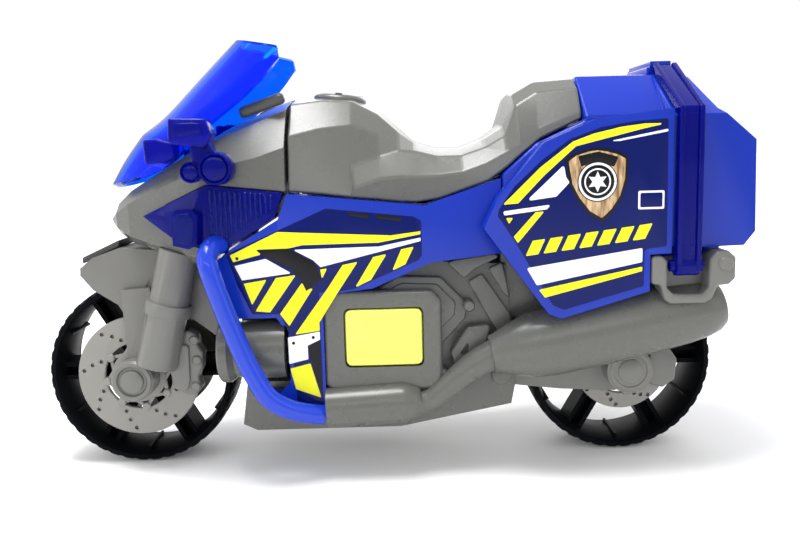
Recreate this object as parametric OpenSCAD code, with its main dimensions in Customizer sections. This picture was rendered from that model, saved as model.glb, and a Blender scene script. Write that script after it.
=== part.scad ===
// Toy touring motorcycle with a sound button, side crash bars and a rear case.
// X runs from the front wheel to the rear case, Y across, Z up; Z = 0 is the ground.

/* [Wheels] */
// Distance between the two axles
wheelbase = 106.4; // [106:0.1:106.8]
// Outer radius of both wheels
wheel_r = 20.6; // [20.4:0.1:20.7]
// Width of each wheel
wheel_w = 15; // [14:0.5:15]
// Wall of the wheel rim at its edge
rim_wall = 1.5; // [1.2:0.1:2]
// Radius of the steel axles
axle_r = 1.5; // [1:0.1:1.6]
// Radial clearance of running fits
running_gap = 0.05; // [0.02:0.01:0.08]
// Number of spokes
spoke_count = 6; // [5:1:8]

/* [Brakes] */
// Outer radius of the front brake discs
disc_r = 13.3; // [12:0.1:13.4]
// Outer radius of the rear brake discs
rear_disc_r = 10.4; // [10:0.1:11]
// Thickness of the brake discs
disc_t = 1.0; // [0.8:0.1:1]
// Rows of drilled holes in each disc
hole_rows = 8; // [6:1:10]
// Radius of each drilled hole
hole_r = 0.45; // [0.3:0.05:0.5]

/* [Fork] */
// Radius of the upper fork tube
fork_r = 4.1; // [3.8:0.1:4.1]
// Distance of each fork tube from the middle plane
fork_y = 13.8; // [13.8:0.1:14.2]
// Rake of the fork from vertical, in degrees
fork_rake = 14.5; // [13.5:0.5:15.5]

/* [Body] */
// Half width of the fairing sides
fairing_half = 19.5; // [19:0.1:19.8]
// Wall of the moulded shells
wall = 1.6; // [1.4:0.1:1.8]
// Half width of the chassis
chassis_half = 14; // [14:0.1:14]
// Height of the flat belly above the ground
belly_z = 9; // [9:0.1:9.2]
// Radius of the crash bar tubes
bar_r = 2.1; // [1.8:0.1:2.1]

/* [Sound button] */
// Width of the button face
button_w = 15.8; // [15:0.1:16]
// Height of the button face
button_h = 11.8; // [11:0.1:12]
// How far the button presses in
button_travel = 1.0; // [0.8:0.1:1]

/* [Exhaust] */
// Radius of the silencer at its fattest
silencer_r = 7.2; // [6.8:0.1:7.2]
// Distance of the silencer's axis from the middle plane
exhaust_y = 18.6; // [18.6:0.1:19]

/* [Luggage] */
// Half width across the side panels
panel_half = 25.3; // [25:0.1:25.4]
// Half width of the rear case lid
lid_half = 22; // [21:0.1:22]
// Rear end of the rear case lid
lid_end_x = 75; // [74:0.1:75]
// Width of the latch straps
strap_w = 4.8; // [4.4:0.1:5]
// Thickness of the latch straps
strap_t = 2.1; // [1.8:0.1:2.1]

/* [Hidden] */
$fn = 48;
gap = 0.3;
front_x = -75 + 20.6;
rear_x = front_x + wheelbase;
half_w = wheel_w / 2;
disc_y0 = half_w + 0.7;
disc_y1 = disc_y0 + disc_t;
skirt_y = 9.6;
boss_r = 4.6;
boss_y = 13;
cap_r = 2.5;
fork_foot = [front_x + 5.5, 24];
fork_len = 25.4;
joint_grow = 0.12;
rear_boss_r = 4.9;
rear_boss_y = 16.4;
lamp_z = 65.8;
horn_y = 14.8;
horn_z = 27.3;
button_x = 0;
button_z = 30;
flange = 1.2;
bezel_y = 18.5;
sil_start = [18.5, 25];
sil_tilt = 11.2;
strap_x = 57.9;
strap_axis = [-(panel_half - 0.7), 44.2];
strap_pin_r = 1.2;
lid_axis = [68.5, 44.4];
lid_pin_r = 1.0;
cell_r = 5.8;
screw_spots = [[-20, 15.5, 14], [24.9, 20, 14], [-20, 50, 6]];

// Outlines in the XZ plane, as pairs of X and Z
cowl_outline = [
    [-59.2, 55], [-58.6, 57.4], [-54.6, 61.8], [-44, 68.2], [-33, 74.4], [-19, 79.6], [-19, 60.4],
    [-21, 55.3], [-32, 48.6], [-37, 45], [-53, 49.6], [-56.6, 51.8]
];
cowl_hollow = [
    [-49, 57], [-44, 65.5], [-33, 71.5], [-18, 76], [-18, 62], [-24, 55.5], [-33, 50.6],
    [-38, 48.4], [-48, 51.4]
];
lens_outline = [[-49.5, 56], [-35, 62.2], [-19.6, 60.4], [-21.4, 55.4], [-32.4, 48.7], [-42, 51]];
cover_outline = [
    [-18.6, 79.6], [-11, 80.2], [-1, 78.4], [6.5, 70.6], [11.5, 69], [17, 68.4], [25, 72.2],
    [28.2, 79.5], [32.5, 82.2], [41, 82.6], [41, 73.6], [31.5, 69.3], [23, 62], [9.2, 57.3],
    [-18.6, 60.5]
];
cover_hollow = [
    [-17, 56], [-17, 77.4], [-11, 78.2], [-2.2, 76.4], [5, 68.8], [12, 66.9], [17.5, 66.5],
    [24, 69.6], [30, 79], [39.4, 80.8], [39.4, 74.5], [31, 70.5], [22, 63], [9, 59.4], [9, 56]
];
fairing_outline = [
    [-34, 46], [-32, 48.4], [-20.8, 55], [-18.8, 60.1], [9, 57.1], [24.4, 62.1], [24.4, 47],
    [10, 45.4], [-2, 40.4], [-12.4, 39.2], [-12.4, 13.4], [-20, 15.2], [-26, 19.5], [-29.5, 27],
    [-33.2, 38.5]
];
horn_pocket = [[-31, 34.8], [-22, 34.8], [-20.2, 32], [-19.7, 21], [-22, 18.6], [-32, 18.6]];
chassis_outline = [
    [-31, 10.4], [-28, belly_z], [3, belly_z], [27, 13.5], [28, 18.5], [26, 44], [10, 45],
    [-2, 40], [-12.4, 38.9], [-12.4, 21], [-29.5, 21]
];
spine_outline = [[-31, 20], [-12.4, 20], [-12.4, 57], [-18.9, 57.8], [-21.4, 54.4], [-31, 48]];
fender_outline = [
    [-65.2, 45.5], [-64.4, 42.2], [-57.5, 33], [-41.5, 33], [-36.5, 29], [-35.2, 30.6],
    [-36, 40], [-38.4, 44.6], [-52, 48.6], [-57, 49.2]
];
panel_outline = [
    [20.3, 52.6], [23.2, 58.6], [32, 69], [42, 73.2], [57.2, 75], [57.2, 46.8], [53, 46.6],
    [53, 39.3], [35.6, 34.2], [33, 35.2]
];
core_outline = [
    [24.8, 47.2], [24.8, 62.8], [31.7, 68.9], [41.3, 73.2], [41.3, 82.6], [63, 82.6], [63, 46.6],
    [62, 43.3], [30, 43.3]
];
lid_outline = [
    [63.6, 47.4], [72.8, 47.6], [lid_end_x, 50.4], [lid_end_x - 0.4, 68.6], [67.4, 74.9],
    [65, 81.8], [63.6, 82.3]
];

// Outline of half the cowl's plan at a distance g outside its skin, mirrored about X
function cowl_plan(g) = let (h = [[-59.6, 6 + g], [-53, 12 + g], [-45, 16 + g], [-36, 19 + g],
    [-18, 19.5 + g]]) concat([for (p = h) [p[0], -p[1]]], [for (i = [4:-1:0]) h[i]]);
// A symmetric YZ section from pairs of height and half width, lowest first
function section_of(s) = let (n = len(s)) concat([for (p = s) [-p[1], p[0]]],
    [for (i = [n - 1:-1:0]) [s[i][1], s[i][0]]]);

// Extrudes an XZ outline from y0 to y1
module side(outline, y0, y1) {
    translate([0, y1, 0]) rotate([90, 0, 0]) linear_extrude(y1 - y0) polygon(outline);
}
// Extrudes an XZ outline from y0 to y1, moved inwards by d all round
module side_inset(outline, d, y0, y1) {
    translate([0, y1, 0]) rotate([90, 0, 0]) linear_extrude(y1 - y0)
        offset(delta = -d) polygon(outline);
}
// Extrudes a YZ outline from x0 to x1
module across(outline, x0, x1) {
    translate([x0, 0, 0]) rotate([90, 0, 90]) linear_extrude(x1 - x0) polygon(outline);
}
// Extrudes an XY outline from z0 to z1
module plan(outline, z0, z1) {
    translate([0, 0, z0]) linear_extrude(z1 - z0) polygon(outline);
}
module disc_y(x, z, r, y0, y1) {
    translate([x, y1, z]) rotate([90, 0, 0]) cylinder(r = r, h = y1 - y0);
}
module disc_x(y, z, r, x0, x1) {
    translate([x0, y, z]) rotate([0, 90, 0]) cylinder(r = r, h = x1 - x0);
}
module block(low, high) {
    translate(low) cube(high - low);
}
// A round rod between two points
module rod(a, b, r) {
    d = b - a;
    flat = norm([d[0], d[1]]);
    translate(a) rotate([0, atan2(flat, d[2]), atan2(d[1], d[0])]) cylinder(r = r, h = norm(d));
}
module right() {
    mirror([0, 1, 0]) children();
}

module wheel(x) {
    color("#16171b") difference() {
        union() {
            difference() {
                disc_y(x, wheel_r, wheel_r, -half_w, half_w);
                disc_y(x, wheel_r, wheel_r - rim_wall, -half_w - 1, half_w + 1);
            }
            disc_y(x, wheel_r, 4.2, -half_w, half_w);
            for (i = [0:spoke_count - 1])
                translate([x, 0, wheel_r]) rotate([0, 360 / spoke_count * i, 0]) spoke();
        }
        disc_y(x, wheel_r, axle_r + running_gap, -half_w - 1, half_w + 1);
    }
}
// A spoke of two ribs joined by a thin web
module spoke() {
    reach = wheel_r - rim_wall + 0.2;
    for (s = [-1, 1]) block([3.2, -3, s * 1.3 - 0.45], [reach, 3, s * 1.3 + 0.45]);
    block([3.2, -0.8, -1.3], [reach, 0.8, 1.3]);
}
module front_wheel() { wheel(front_x); }
module rear_wheel() { wheel(rear_x); }

module axle(x, reach) {
    color("silver") disc_y(x, wheel_r, axle_r, -reach, reach);
}
module front_axle() { axle(front_x, 12); }
module rear_axle() { axle(rear_x, 12); }

// A drilled disc with an inner spider of round bobbins
module brake_disc(x, r, inner) {
    color("#a8a69e") difference() {
        union() {
            difference() {
                disc_y(x, wheel_r, r, -disc_y1, -disc_y0);
                disc_y(x, wheel_r, inner, -disc_y1 - 1, -disc_y0 + 1);
            }
            disc_y(x, wheel_r, boss_r + 1.4, -disc_y1, -disc_y0);
            for (i = [0:hole_rows - 1])
                translate([x, 0, wheel_r]) rotate([0, 360 / hole_rows * i, 0])
                    disc_y((boss_r + 1.4 + inner) / 2, 0, 1.2, -disc_y1, -disc_y0);
        }
        disc_y(x, wheel_r, boss_r + 0.02, -disc_y1 - 1, -disc_y0 + 1);
        for (i = [0:hole_rows - 1], j = [0:2])
            translate([x, 0, wheel_r]) rotate([0, 360 / hole_rows * (i + 0.5) + 8 * j, 0])
                disc_y(inner + (r - inner) * (0.24 + 0.28 * j), 0, hole_r, -disc_y1 - 1, -disc_y0 + 1);
    }
}
module front_disc_left() { brake_disc(front_x, disc_r, 7.4); }
module front_disc_right() { right() brake_disc(front_x, disc_r, 7.4); }
module rear_disc_left() { brake_disc(rear_x, rear_disc_r, 6.6); }
module rear_disc_right() { right() brake_disc(rear_x, rear_disc_r, 6.6); }

// The straight parts of the left fork leg along its raked axis
module fork_tube(grow) {
    translate([fork_foot[0], -fork_y, fork_foot[1]]) rotate([0, fork_rake, 0]) {
        cylinder(r = fork_r + 0.2 + grow, h = 12.5);
        translate([0, 0, 11.5]) cylinder(r = fork_r + 0.7 + grow, h = 2.6);
        cylinder(r = fork_r + grow, h = fork_len);
    }
}
module fork_leg() {
    color("#8d8c86") difference() {
        union() {
            fork_tube(0);
            side([[-56.2, 40], [-50, 40.5], [-48.5, 30], [-50, 20], [-55.6, 22]], -11.6, -skirt_y - 0.1);
            disc_y(front_x, wheel_r, boss_r, -boss_y, -disc_y0);
        }
        disc_y(front_x, wheel_r, axle_r + 0.02, -12.2, 0);
    }
}
module fork_left() { fork_leg(); }
module fork_right() { right() fork_leg(); }

module front_caliper() {
    color("#85847e") difference() {
        union() {
            side([[-44.6, 30.4], [-43, 27], [-42.8, 20.6], [-45, 15.6], [-46.8, 19], [-47, 26]],
                -13, -disc_y1 - 0.1);
            side([[-43.2, 28.6], [-40.6, 27.6], [-40, 20], [-42.6, 17]], -12, -disc_y1 - 0.1);
        }
        fork_tube(0.1);
    }
}
module front_caliper_left() { front_caliper(); }
module front_caliper_right() { right() front_caliper(); }

module front_fender() {
    color("#98968f") difference() {
        side(fender_outline, -skirt_y, skirt_y);
        disc_y(front_x, wheel_r, wheel_r + 1.1, -half_w - 0.6, half_w + 0.6);
        disc_y(front_x, wheel_r, disc_r + 0.4, -skirt_y - 1, skirt_y + 1);
        fork_tube(0.06);
        right() fork_tube(0.06);
    }
}
module fender_plate() {
    color("#6f6e66") difference() {
        side([[-65.4, 46], [-57.2, 49.8], [-57.2, 51.2], [-65.4, 47.6]], -7, 7);
        front_fender();
    }
}

module cowl_body() {
    intersection() {
        side(cowl_outline, -21, 21);
        plan(cowl_plan(0), 40, 85);
        across(section_of([[40, 20], [62, 19.8], [70, 17], [80, 11.6], [84, 9]]), -60, -15);
    }
}
module front_cowl() {
    color("#8d8c86") difference() {
        cowl_body();
        intersection() {
            side(cowl_hollow, -12.5, 12.5);
            plan(cowl_plan(-3), 40, 85);
        }
        difference() {
            side(lens_outline, -23, 23);
            plan(cowl_plan(-4.05), 40, 70);
        }
        fork_tube(0.06);
        right() fork_tube(0.06);
        grip(0.05);
        right() grip(0.05);
        lamp_mount();
        right() lamp_mount();
        crash_bar(0.06);
        right() crash_bar(0.06);
    }
}

module side_lens() {
    color("#101a96", 0.7) difference() {
        union() {
            difference() {
                intersection() {
                    side(lens_outline, -23, -5);
                    plan(cowl_plan(0.4), 40, 70);
                }
                plan(cowl_plan(-4), 40, 70);
            }
            difference() {
                side([[-42, 56.6], [-41, 57.6], [-37.8, 57.6], [-36.6, 56.4], [-37, 50.4],
                    [-38.6, 49.6], [-41.8, 50.4]], -21, -12);
                plan(cowl_plan(0.3), 40, 70);
            }
        }
        crash_bar(0.06);
        lamp_mount();
    }
}
module side_lens_left() { side_lens(); }
module side_lens_right() { right() side_lens(); }

// A flat sheet through a list of corner points
module sheet(points, t) {
    hull() for (p = points) translate(p) cube(t, center = true);
}
module windscreen_half() {
    top_mid = [-31, -0.5, 92.4];
    top_edge = [-21.2, -13.6, 89.6];
    bend_mid = [-46, -0.5, 77.4];
    bend_edge = [-36.8, -16, 74.2];
    tip_mid = [-60, -0.5, 61.6];
    brow_mid = [-54, -0.5, 73];
    brow_edge = [-45, -14.4, 71.4];
    sheet([top_mid, top_edge, bend_edge, bend_mid], 1.1);
    sheet([top_edge, [-19, -14.6, 86.4], [-30.6, -17.4, 76.6], bend_edge], 1.1);
    sheet([bend_mid, bend_edge, brow_edge, brow_mid], 1.1);
    sheet([brow_mid, brow_edge, [-52, -12.6, 65.4], tip_mid], 1.1);
}
module windscreen() {
    color("#1440ff", 0.6) {
        windscreen_half();
        right() windscreen_half();
    }
}

module lamp_mount() {
    disc_y(-35, lamp_z, 1.5, -20.4, -15);
}
// The mirror block with a large and a small spot lamp below it
module lamp_pod() {
    color("#2030e0", 0.7) {
        lamp_mount();
        side([[-40.4, 75.6], [-32.2, 75.4], [-31, 70.2], [-33.4, 67.6], [-40.6, 70]],
            -24.2, -20.4);
        disc_y(-31.8, lamp_z - 0.2, 3.4, -25, -20.4);
        disc_y(-36.8, lamp_z - 0.6, 2.1, -23.9, -20.4);
    }
}
module lamp_pod_left() { lamp_pod(); }
module lamp_pod_right() { right() lamp_pod(); }

module grip(grow) {
    rod([-28.2, -12.8, 76.9], [-19.6, -13.2, 79.8], 1.25 + grow);
}
module grip_left() { color("#4e4e4a") grip(0); }
module grip_right() { color("#4e4e4a") right() grip(0); }

module tank_seat_cover() {
    color("#7d7c74") difference() {
        intersection() {
            side(cover_outline, -19, 19);
            across(section_of([[50, 18.6], [64, 17.6], [72, 14.4], [80, 9.6], [86, 7.4]]), -19, 42);
        }
        intersection() {
            side(cover_hollow, -18, 18);
            across(section_of([[50, 16.8], [64, 15.8], [72, 12], [80, 6.6], [86, 5]]), -19, 42);
        }
        tank_cap_body(0.05);
        grip(0.1);
        right() grip(0.1);
    }
}
module tank_cap_body(grow) {
    translate([-8.6, 0, 78.6]) rotate([0, 6, 0]) cylinder(r = 5.8 + grow, h = 2);
}
module tank_cap() { color("#6c6b64") tank_cap_body(0); }

module fairing() {
    color("#1d3bb0") difference() {
        side(fairing_outline, -fairing_half, -chassis_half - 0.1);
        side_inset(fairing_outline, wall, -fairing_half + wall, -chassis_half);
        side(horn_pocket, -fairing_half - 1, -chassis_half + 1);
        disc_x(-horn_y, horn_z, 7.5, -36, -19.6);
        crash_bar(0.06);
    }
}
module fairing_left() { fairing(); }
module fairing_right() { right() fairing(); }

// The left crash bar: straight tubes with round corners
bar_path = [
    [-32.4, -17.6, 50.4], [-34.4, -22.6, 48.4], [-32.4, -24, 40.5], [-28.4, -24, 28.5],
    [-25, -23.9, 21], [-20.2, -22.9, 16.2], [-13.2, -20.4, 14.1]
];
module crash_bar(grow) {
    for (i = [0:len(bar_path) - 2]) rod(bar_path[i], bar_path[i + 1], bar_r + grow);
    for (i = [1:len(bar_path) - 2]) translate(bar_path[i]) sphere(r = bar_r + joint_grow + grow);
}
module crash_bar_left() { color("#1a37c8") crash_bar(0); }
module crash_bar_right() { color("#1a37c8") right() crash_bar(0); }

module horn() {
    color("#83827a") difference() {
        union() {
            disc_x(-horn_y, horn_z, 6.9, -34.6, -31.6);
            disc_x(-horn_y, horn_z, 6.2, -31.6, -19.8);
        }
        disc_x(-horn_y, horn_z, 4.4, -35, -33);
    }
}
module horn_left() { horn(); }
module horn_right() { right() horn(); }

// One half of the chassis, with the engine block and the spine behind the fork
module chassis_half_body() {
    difference() {
        union() {
            side(chassis_outline, -chassis_half, 0);
            side(spine_outline, -6, 0);
        }
        side([[-9.5, 11], [2, 11], [21, 14.6], [21, 42], [10, 42.6], [-1, 37.6], [-9.5, 36.4]],
            -chassis_half + wall, 1);
        block([-13, -9.2, belly_z - 1], [20, 1, belly_z + 1.6]);
        block([-9.5, -9.2, belly_z - 1], [20, 1, belly_z + 3]);
        disc_x(-horn_y, horn_z, 7.5, -36, -19.6);
        exhaust_body(0.1);
        for (s = screw_spots) disc_y(s[0], s[1], 1.05, -s[2] + 4, 1);
    }
}
module chassis_left() {
    color("#7f7e77") difference() {
        chassis_half_body();
        disc_y(button_x, button_z, 2.6, -chassis_half - 1, -chassis_half + wall + 1);
    }
}
module chassis_right() {
    color("#7f7e77") difference() {
        right() chassis_half_body();
        for (s = screw_spots) {
            disc_y(s[0], s[1], 1.3, -1, s[2] + 1);
            disc_y(s[0], s[1], 2.3, s[2] - 2, s[2] + 1);
        }
    }
}

cover_plate = [
    [-12, 38.6], [8.5, 39.2], [11.6, 36.6], [11.2, 19.4], [8.4, 17.4], [-10, 17.4], [-12, 19.4]
];
// The raised engine cover; the left one frames the button
module engine_cover_left() {
    color("#87867f") difference() {
        side(cover_plate, -bezel_y, -chassis_half - 0.05);
        block([button_x - button_w / 2 - gap, -bezel_y - 1, button_z - button_h / 2 - gap],
            [button_x + button_w / 2 + gap, -chassis_half, button_z + button_h / 2 + gap]);
        block([button_x - button_w / 2 - flange - gap, -bezel_y + 2.2,
                button_z - button_h / 2 - flange - gap],
            [button_x + button_w / 2 + flange + gap, -chassis_half,
                button_z + button_h / 2 + flange + gap]);
        exhaust_body(0.1);
    }
}
module engine_cover_right() {
    color("#87867f") difference() {
        right() side(cover_plate, -bezel_y, -chassis_half - 0.05);
        right() exhaust_body(0.1);
    }
}
module sound_button() {
    back = -bezel_y + 2.4 + 1;
    color("#eef26a") {
        block([button_x - button_w / 2, -bezel_y - 0.9, button_z - button_h / 2],
            [button_x + button_w / 2, back, button_z + button_h / 2]);
        block([button_x - button_w / 2 - flange, back - 1, button_z - button_h / 2 - flange],
            [button_x + button_w / 2 + flange, back, button_z + button_h / 2 + flange]);
        disc_y(button_x, button_z, 2, back, -13.2);
    }
}

// The left exhaust: collector, pipe and silencer
module exhaust_body(grow) {
    knee = [7, -exhaust_y - 0.2, 14.6];
    rod([-12.2, -exhaust_y - 0.2, 14.9], knee, 4.3 + grow);
    translate(knee) sphere(r = 4.3 + grow);
    rod(knee, [sil_start[0] + 2, -exhaust_y, sil_start[1]], 3.2 + grow);
    translate([sil_start[0], -exhaust_y, sil_start[1]]) rotate([0, 90 - sil_tilt, 0])
        rotate_extrude() polygon([[0, 0], [4.2 + grow, 0], [silencer_r + grow, 15],
            [silencer_r + grow, 36], [6.2 + grow, 49], [4.6 + grow, 52 + grow], [0, 52 + grow]]);
}
module exhaust() {
    color("#7e7d76") difference() {
        exhaust_body(0);
        translate([sil_start[0], -exhaust_y, sil_start[1]]) rotate([0, 90 - sil_tilt, 0])
            translate([0, 0, 49.5]) cylinder(r = 3.2, h = 4);
        block([-14, -30, 5], [-12.2, 0, 25]);
    }
}
module exhaust_left() { exhaust(); }
module exhaust_right() { right() exhaust(); }

module swingarm() {
    color("#85847d") difference() {
        union() {
            side([[28.2, 33], [28.2, 16.8], [38, 15.6], [50, 14.9], [57, 17], [57.2, 23.6], [52, 26],
                [40, 27]], -11.2, -disc_y1 - 0.1);
            disc_y(rear_x, wheel_r, rear_boss_r, -rear_boss_y, -disc_y1 - 0.1);
            disc_y(rear_x, wheel_r, boss_r, -disc_y1 - 0.1, -disc_y0);
        }
        disc_y(rear_x, wheel_r, axle_r + 0.02, -12.2, 0);
        exhaust_body(0.1);
    }
}
module swingarm_left() { swingarm(); }
module swingarm_right() { right() swingarm(); }

module rear_caliper() {
    color("#8b8a83") difference() {
        side([[57.4, 25.4], [61.4, 24.6], [63.4, 21.8], [63, 17.2], [60.4, 15.4], [57.4, 16.4]],
            -12, -disc_y1 - 0.1);
        exhaust_body(0.1);
    }
}
module rear_caliper_left() { rear_caliper(); }
module rear_caliper_right() { right() rear_caliper(); }

case_section = section_of([[40, 20], [74, 20], [83, 8.6]]);
frame_section = section_of([[40, 24.2], [73.6, 24.2], [83, 8.2]]);
// The case that carries the side panels, open at the rear behind the lid
module luggage_core() {
    color("#1f3cb4") difference() {
        union() {
            intersection() {
                side(core_outline, -21, 21);
                across(case_section, 20, 64);
            }
            intersection() {
                side([[57.3, 48], [57.3, 82.6], [63, 82.6], [63, 48]], -25, 25);
                across(frame_section, 57, 64);
            }
        }
        intersection() {
            side([[43.5, 45.2], [43.5, 79], [64, 79], [64, 45.2]], -18, 18);
            across(section_of([[40, 18], [73, 18], [80, 8]]), 40, 65);
        }
        block([26.4, -18, 45.2], [41.8, 18, 60]);
    }
}
module saddle_panel() {
    color("#1f3fc0") difference() {
        side(panel_outline, -panel_half, -20.05);
        side_inset(panel_outline, wall, -panel_half + wall, -20);
        exhaust_body(0.1);
    }
}
module saddle_panel_left() { saddle_panel(); }
module saddle_panel_right() { right() saddle_panel(); }

// Carries the strap's pins along X and the end of the lid's pin along Y
module hinge_bracket() {
    y0 = -panel_half - 0.3;
    color("#9a9890") difference() {
        union() {
            block([53.3, y0, 41.4], [56.3, -20.4, 46.2]);
            block([53.3, y0, 36.6], [55.3, -20.4, 41.4]);
            block([55.3, y0, 36.6], [70.2, -20.4, 39.4]);
            block([66.2, y0, 39.4], [70.2, -20.4, 43]);
            disc_y(lid_axis[0], lid_axis[1], 2.7, y0, -20.2);
        }
        disc_x(strap_axis[0], strap_axis[1], strap_pin_r + running_gap, 54.6, 68);
        disc_y(lid_axis[0], lid_axis[1], lid_pin_r + 0.02, -22.2, -19);
        exhaust_body(0.1);
    }
}
module hinge_bracket_left() { hinge_bracket(); }
module hinge_bracket_right() { right() hinge_bracket(); }

// A strap that hooks over the roof, with its two hinge pins
module strap() {
    outer = -panel_half - 1.3;
    inner = outer + strap_t;
    color("#0c1290", 0.8) {
        across([[outer, strap_axis[1]], [inner, strap_axis[1]], [inner, 73.9], [-8.6, 83],
            [-8.6, 84.6], [-9.6, 84.9], [outer, 75.2]], strap_x, strap_x + strap_w);
        disc_x(strap_axis[0], strap_axis[1], 2, strap_x, strap_x + strap_w);
        disc_x(strap_axis[0], strap_axis[1], strap_pin_r, 55, 67);
    }
}
module strap_left() { strap(); }
module strap_right() { right() strap(); }

module latch_tab() {
    color("#2444c8") {
        block([57, -7.6, 82.65], [62.6, 7.6, 84.2]);
        block([57.6, -8, 84.2], [62, 8, 85.4]);
    }
}

// The rear lid of the case, a hollow shell that opens towards the case
module rear_case_lid() {
    color("#1f3cb4") difference() {
        union() {
            intersection() {
                side(lid_outline, -lid_half, lid_half);
                across(section_of([[40, lid_half], [73.8, lid_half], [83, 8]]), 60, 76);
            }
            disc_y(lid_axis[0], lid_axis[1], 2.4, -16, 16);
            block([66.8, -16, 44.4], [70.2, 16, 48]);
        }
        intersection() {
            side([[63, 49.4], [72.4, 49.4], [73.3, 51], [73, 67.8], [65.6, 73.4], [63.8, 79], [63, 79]],
                -lid_half + wall, lid_half - wall);
            across(section_of([[40, 20.4], [72.8, 20.4], [80, 8]]), 60, 76);
        }
        disc_y(lid_axis[0], lid_axis[1], lid_pin_r + running_gap, -17, 17);
    }
}
module lid_hinge_pin() {
    color("silver") disc_y(lid_axis[0], lid_axis[1], lid_pin_r, -22, 22);
}

module battery_cover() {
    color("#77766f") difference() {
        block([-12.9, -9.1, belly_z], [2.9, 9.1, belly_z + 1.5]);
        translate([-10.8, 0, belly_z - 1]) cylinder(r = 1.1, h = 4);
        translate([-10.8, 0, belly_z - 1]) cylinder(r = 1.9, h = 1.8);
        for (i = [0:3]) block([-5 + 1.6 * i, -5, belly_z - 1], [-4.4 + 1.6 * i, 5, belly_z + 0.4]);
    }
}
module battery_screw() {
    color("silver") difference() {
        union() {
            translate([-10.8, 0, belly_z + 0.1]) cylinder(r = 1.8, h = 0.7);
            translate([-10.8, 0, belly_z + 0.8]) cylinder(r = 1, h = 0.75);
        }
        block([-12, -0.25, belly_z], [-9.6, 0.25, belly_z + 0.5]);
        block([-11.05, -1.2, belly_z], [-10.55, 1.2, belly_z + 0.5]);
    }
}
module button_cells() {
    color("#c4c6c8") for (i = [0:1])
        translate([-3.4 + 12 * i, 0, 12.1 + 1.7 * i]) {
            cylinder(r = cell_r, h = 4.2);
            translate([0, 0, 4.2]) cylinder(r = cell_r - 0.8, h = 1.2);
        }
}
module circuit_board() {
    color("#1e6b3a") difference() {
        block([-7, -8, 19.5], [19, -6.6, 36]);
        for (x = [-5, 17]) disc_y(x, 21.5, 1, -9, -6);
    }
}
module tact_switch() {
    color("#26262a") {
        block([button_x - 3, -11.2, button_z - 3], [button_x + 3, -8, button_z + 3]);
        disc_y(button_x, button_z, 1.7, -12.1, -11.2);
    }
}
module speaker() {
    color("#33353a") {
        disc_y(5, 30, 5.8, -6, -2.4);
        disc_y(5, 30, 9, -2.4, -0.2);
    }
    color("#33353a") difference() {
        disc_y(5, 30, 9, -0.2, 1);
        disc_y(5, 30, 7.4, -0.2, 2);
    }
}
module led_lamp() {
    color("white") {
        disc_x(0, 57, 2, -47.4, -44.6);
        translate([-44.6, 0, 57]) sphere(r = 2);
    }
}
module case_screws() {
    color("silver") for (s = screw_spots) {
        disc_y(s[0], s[1], 2.1, s[2] - 2, s[2] - 0.6);
        disc_y(s[0], s[1], 1, -s[2] + 5, s[2] - 2);
    }
}

front_wheel();
rear_wheel();
front_axle();
rear_axle();
fork_left();
fork_right();
front_disc_left();
front_disc_right();
front_caliper_left();
front_caliper_right();
front_fender();
fender_plate();
front_cowl();
windscreen();
lamp_pod_left();
lamp_pod_right();
side_lens_left();
side_lens_right();
grip_left();
grip_right();
tank_seat_cover();
tank_cap();
fairing_left();
fairing_right();
crash_bar_left();
crash_bar_right();
horn_left();
horn_right();
chassis_left();
chassis_right();
engine_cover_left();
engine_cover_right();
sound_button();
exhaust_left();
exhaust_right();
swingarm_left();
swingarm_right();
rear_disc_left();
rear_disc_right();
rear_caliper_left();
rear_caliper_right();
luggage_core();
saddle_panel_left();
saddle_panel_right();
hinge_bracket_left();
hinge_bracket_right();
strap_left();
strap_right();
latch_tab();
rear_case_lid();
lid_hinge_pin();
battery_cover();
battery_screw();
button_cells();
circuit_board();
tact_switch();
speaker();
led_lamp();
case_screws();
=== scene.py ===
"""Toy patrol motorcycle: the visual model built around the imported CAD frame.

Lengths in this script are millimetres in the CAD frame (front wheel at -X, left side at -Y) and are
turned into metres when a mesh is made. Left-hand pieces are made first and mirrored for the right.
"""
import math

import bmesh
import bpy
from mathutils import Matrix, Vector, geometry


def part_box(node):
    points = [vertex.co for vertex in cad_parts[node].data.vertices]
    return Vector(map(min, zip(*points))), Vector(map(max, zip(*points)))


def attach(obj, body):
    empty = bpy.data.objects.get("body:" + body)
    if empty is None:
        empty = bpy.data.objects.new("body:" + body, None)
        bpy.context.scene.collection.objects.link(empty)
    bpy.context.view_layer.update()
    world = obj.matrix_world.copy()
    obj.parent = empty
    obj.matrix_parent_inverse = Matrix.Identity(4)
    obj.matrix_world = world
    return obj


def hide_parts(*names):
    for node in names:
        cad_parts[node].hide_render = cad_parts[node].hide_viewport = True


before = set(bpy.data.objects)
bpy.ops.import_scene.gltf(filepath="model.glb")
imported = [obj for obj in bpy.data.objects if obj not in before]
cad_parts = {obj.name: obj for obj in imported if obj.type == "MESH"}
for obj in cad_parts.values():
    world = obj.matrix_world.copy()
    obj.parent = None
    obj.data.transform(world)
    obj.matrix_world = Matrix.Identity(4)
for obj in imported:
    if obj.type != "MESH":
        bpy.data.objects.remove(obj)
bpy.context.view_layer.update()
MM = 0.001


def node_box(node):
    """Lowest and highest corner of a CAD node, in millimetres."""
    low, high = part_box(node)
    return low / MM, high / MM


def node_middle(node):
    low, high = node_box(node)
    return (low + high) / 2


def depths(node):
    """The outer and inner depth of a left-hand CAD node: its lowest and highest Y."""
    low, high = node_box(node)
    return low.y, high.y


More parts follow.
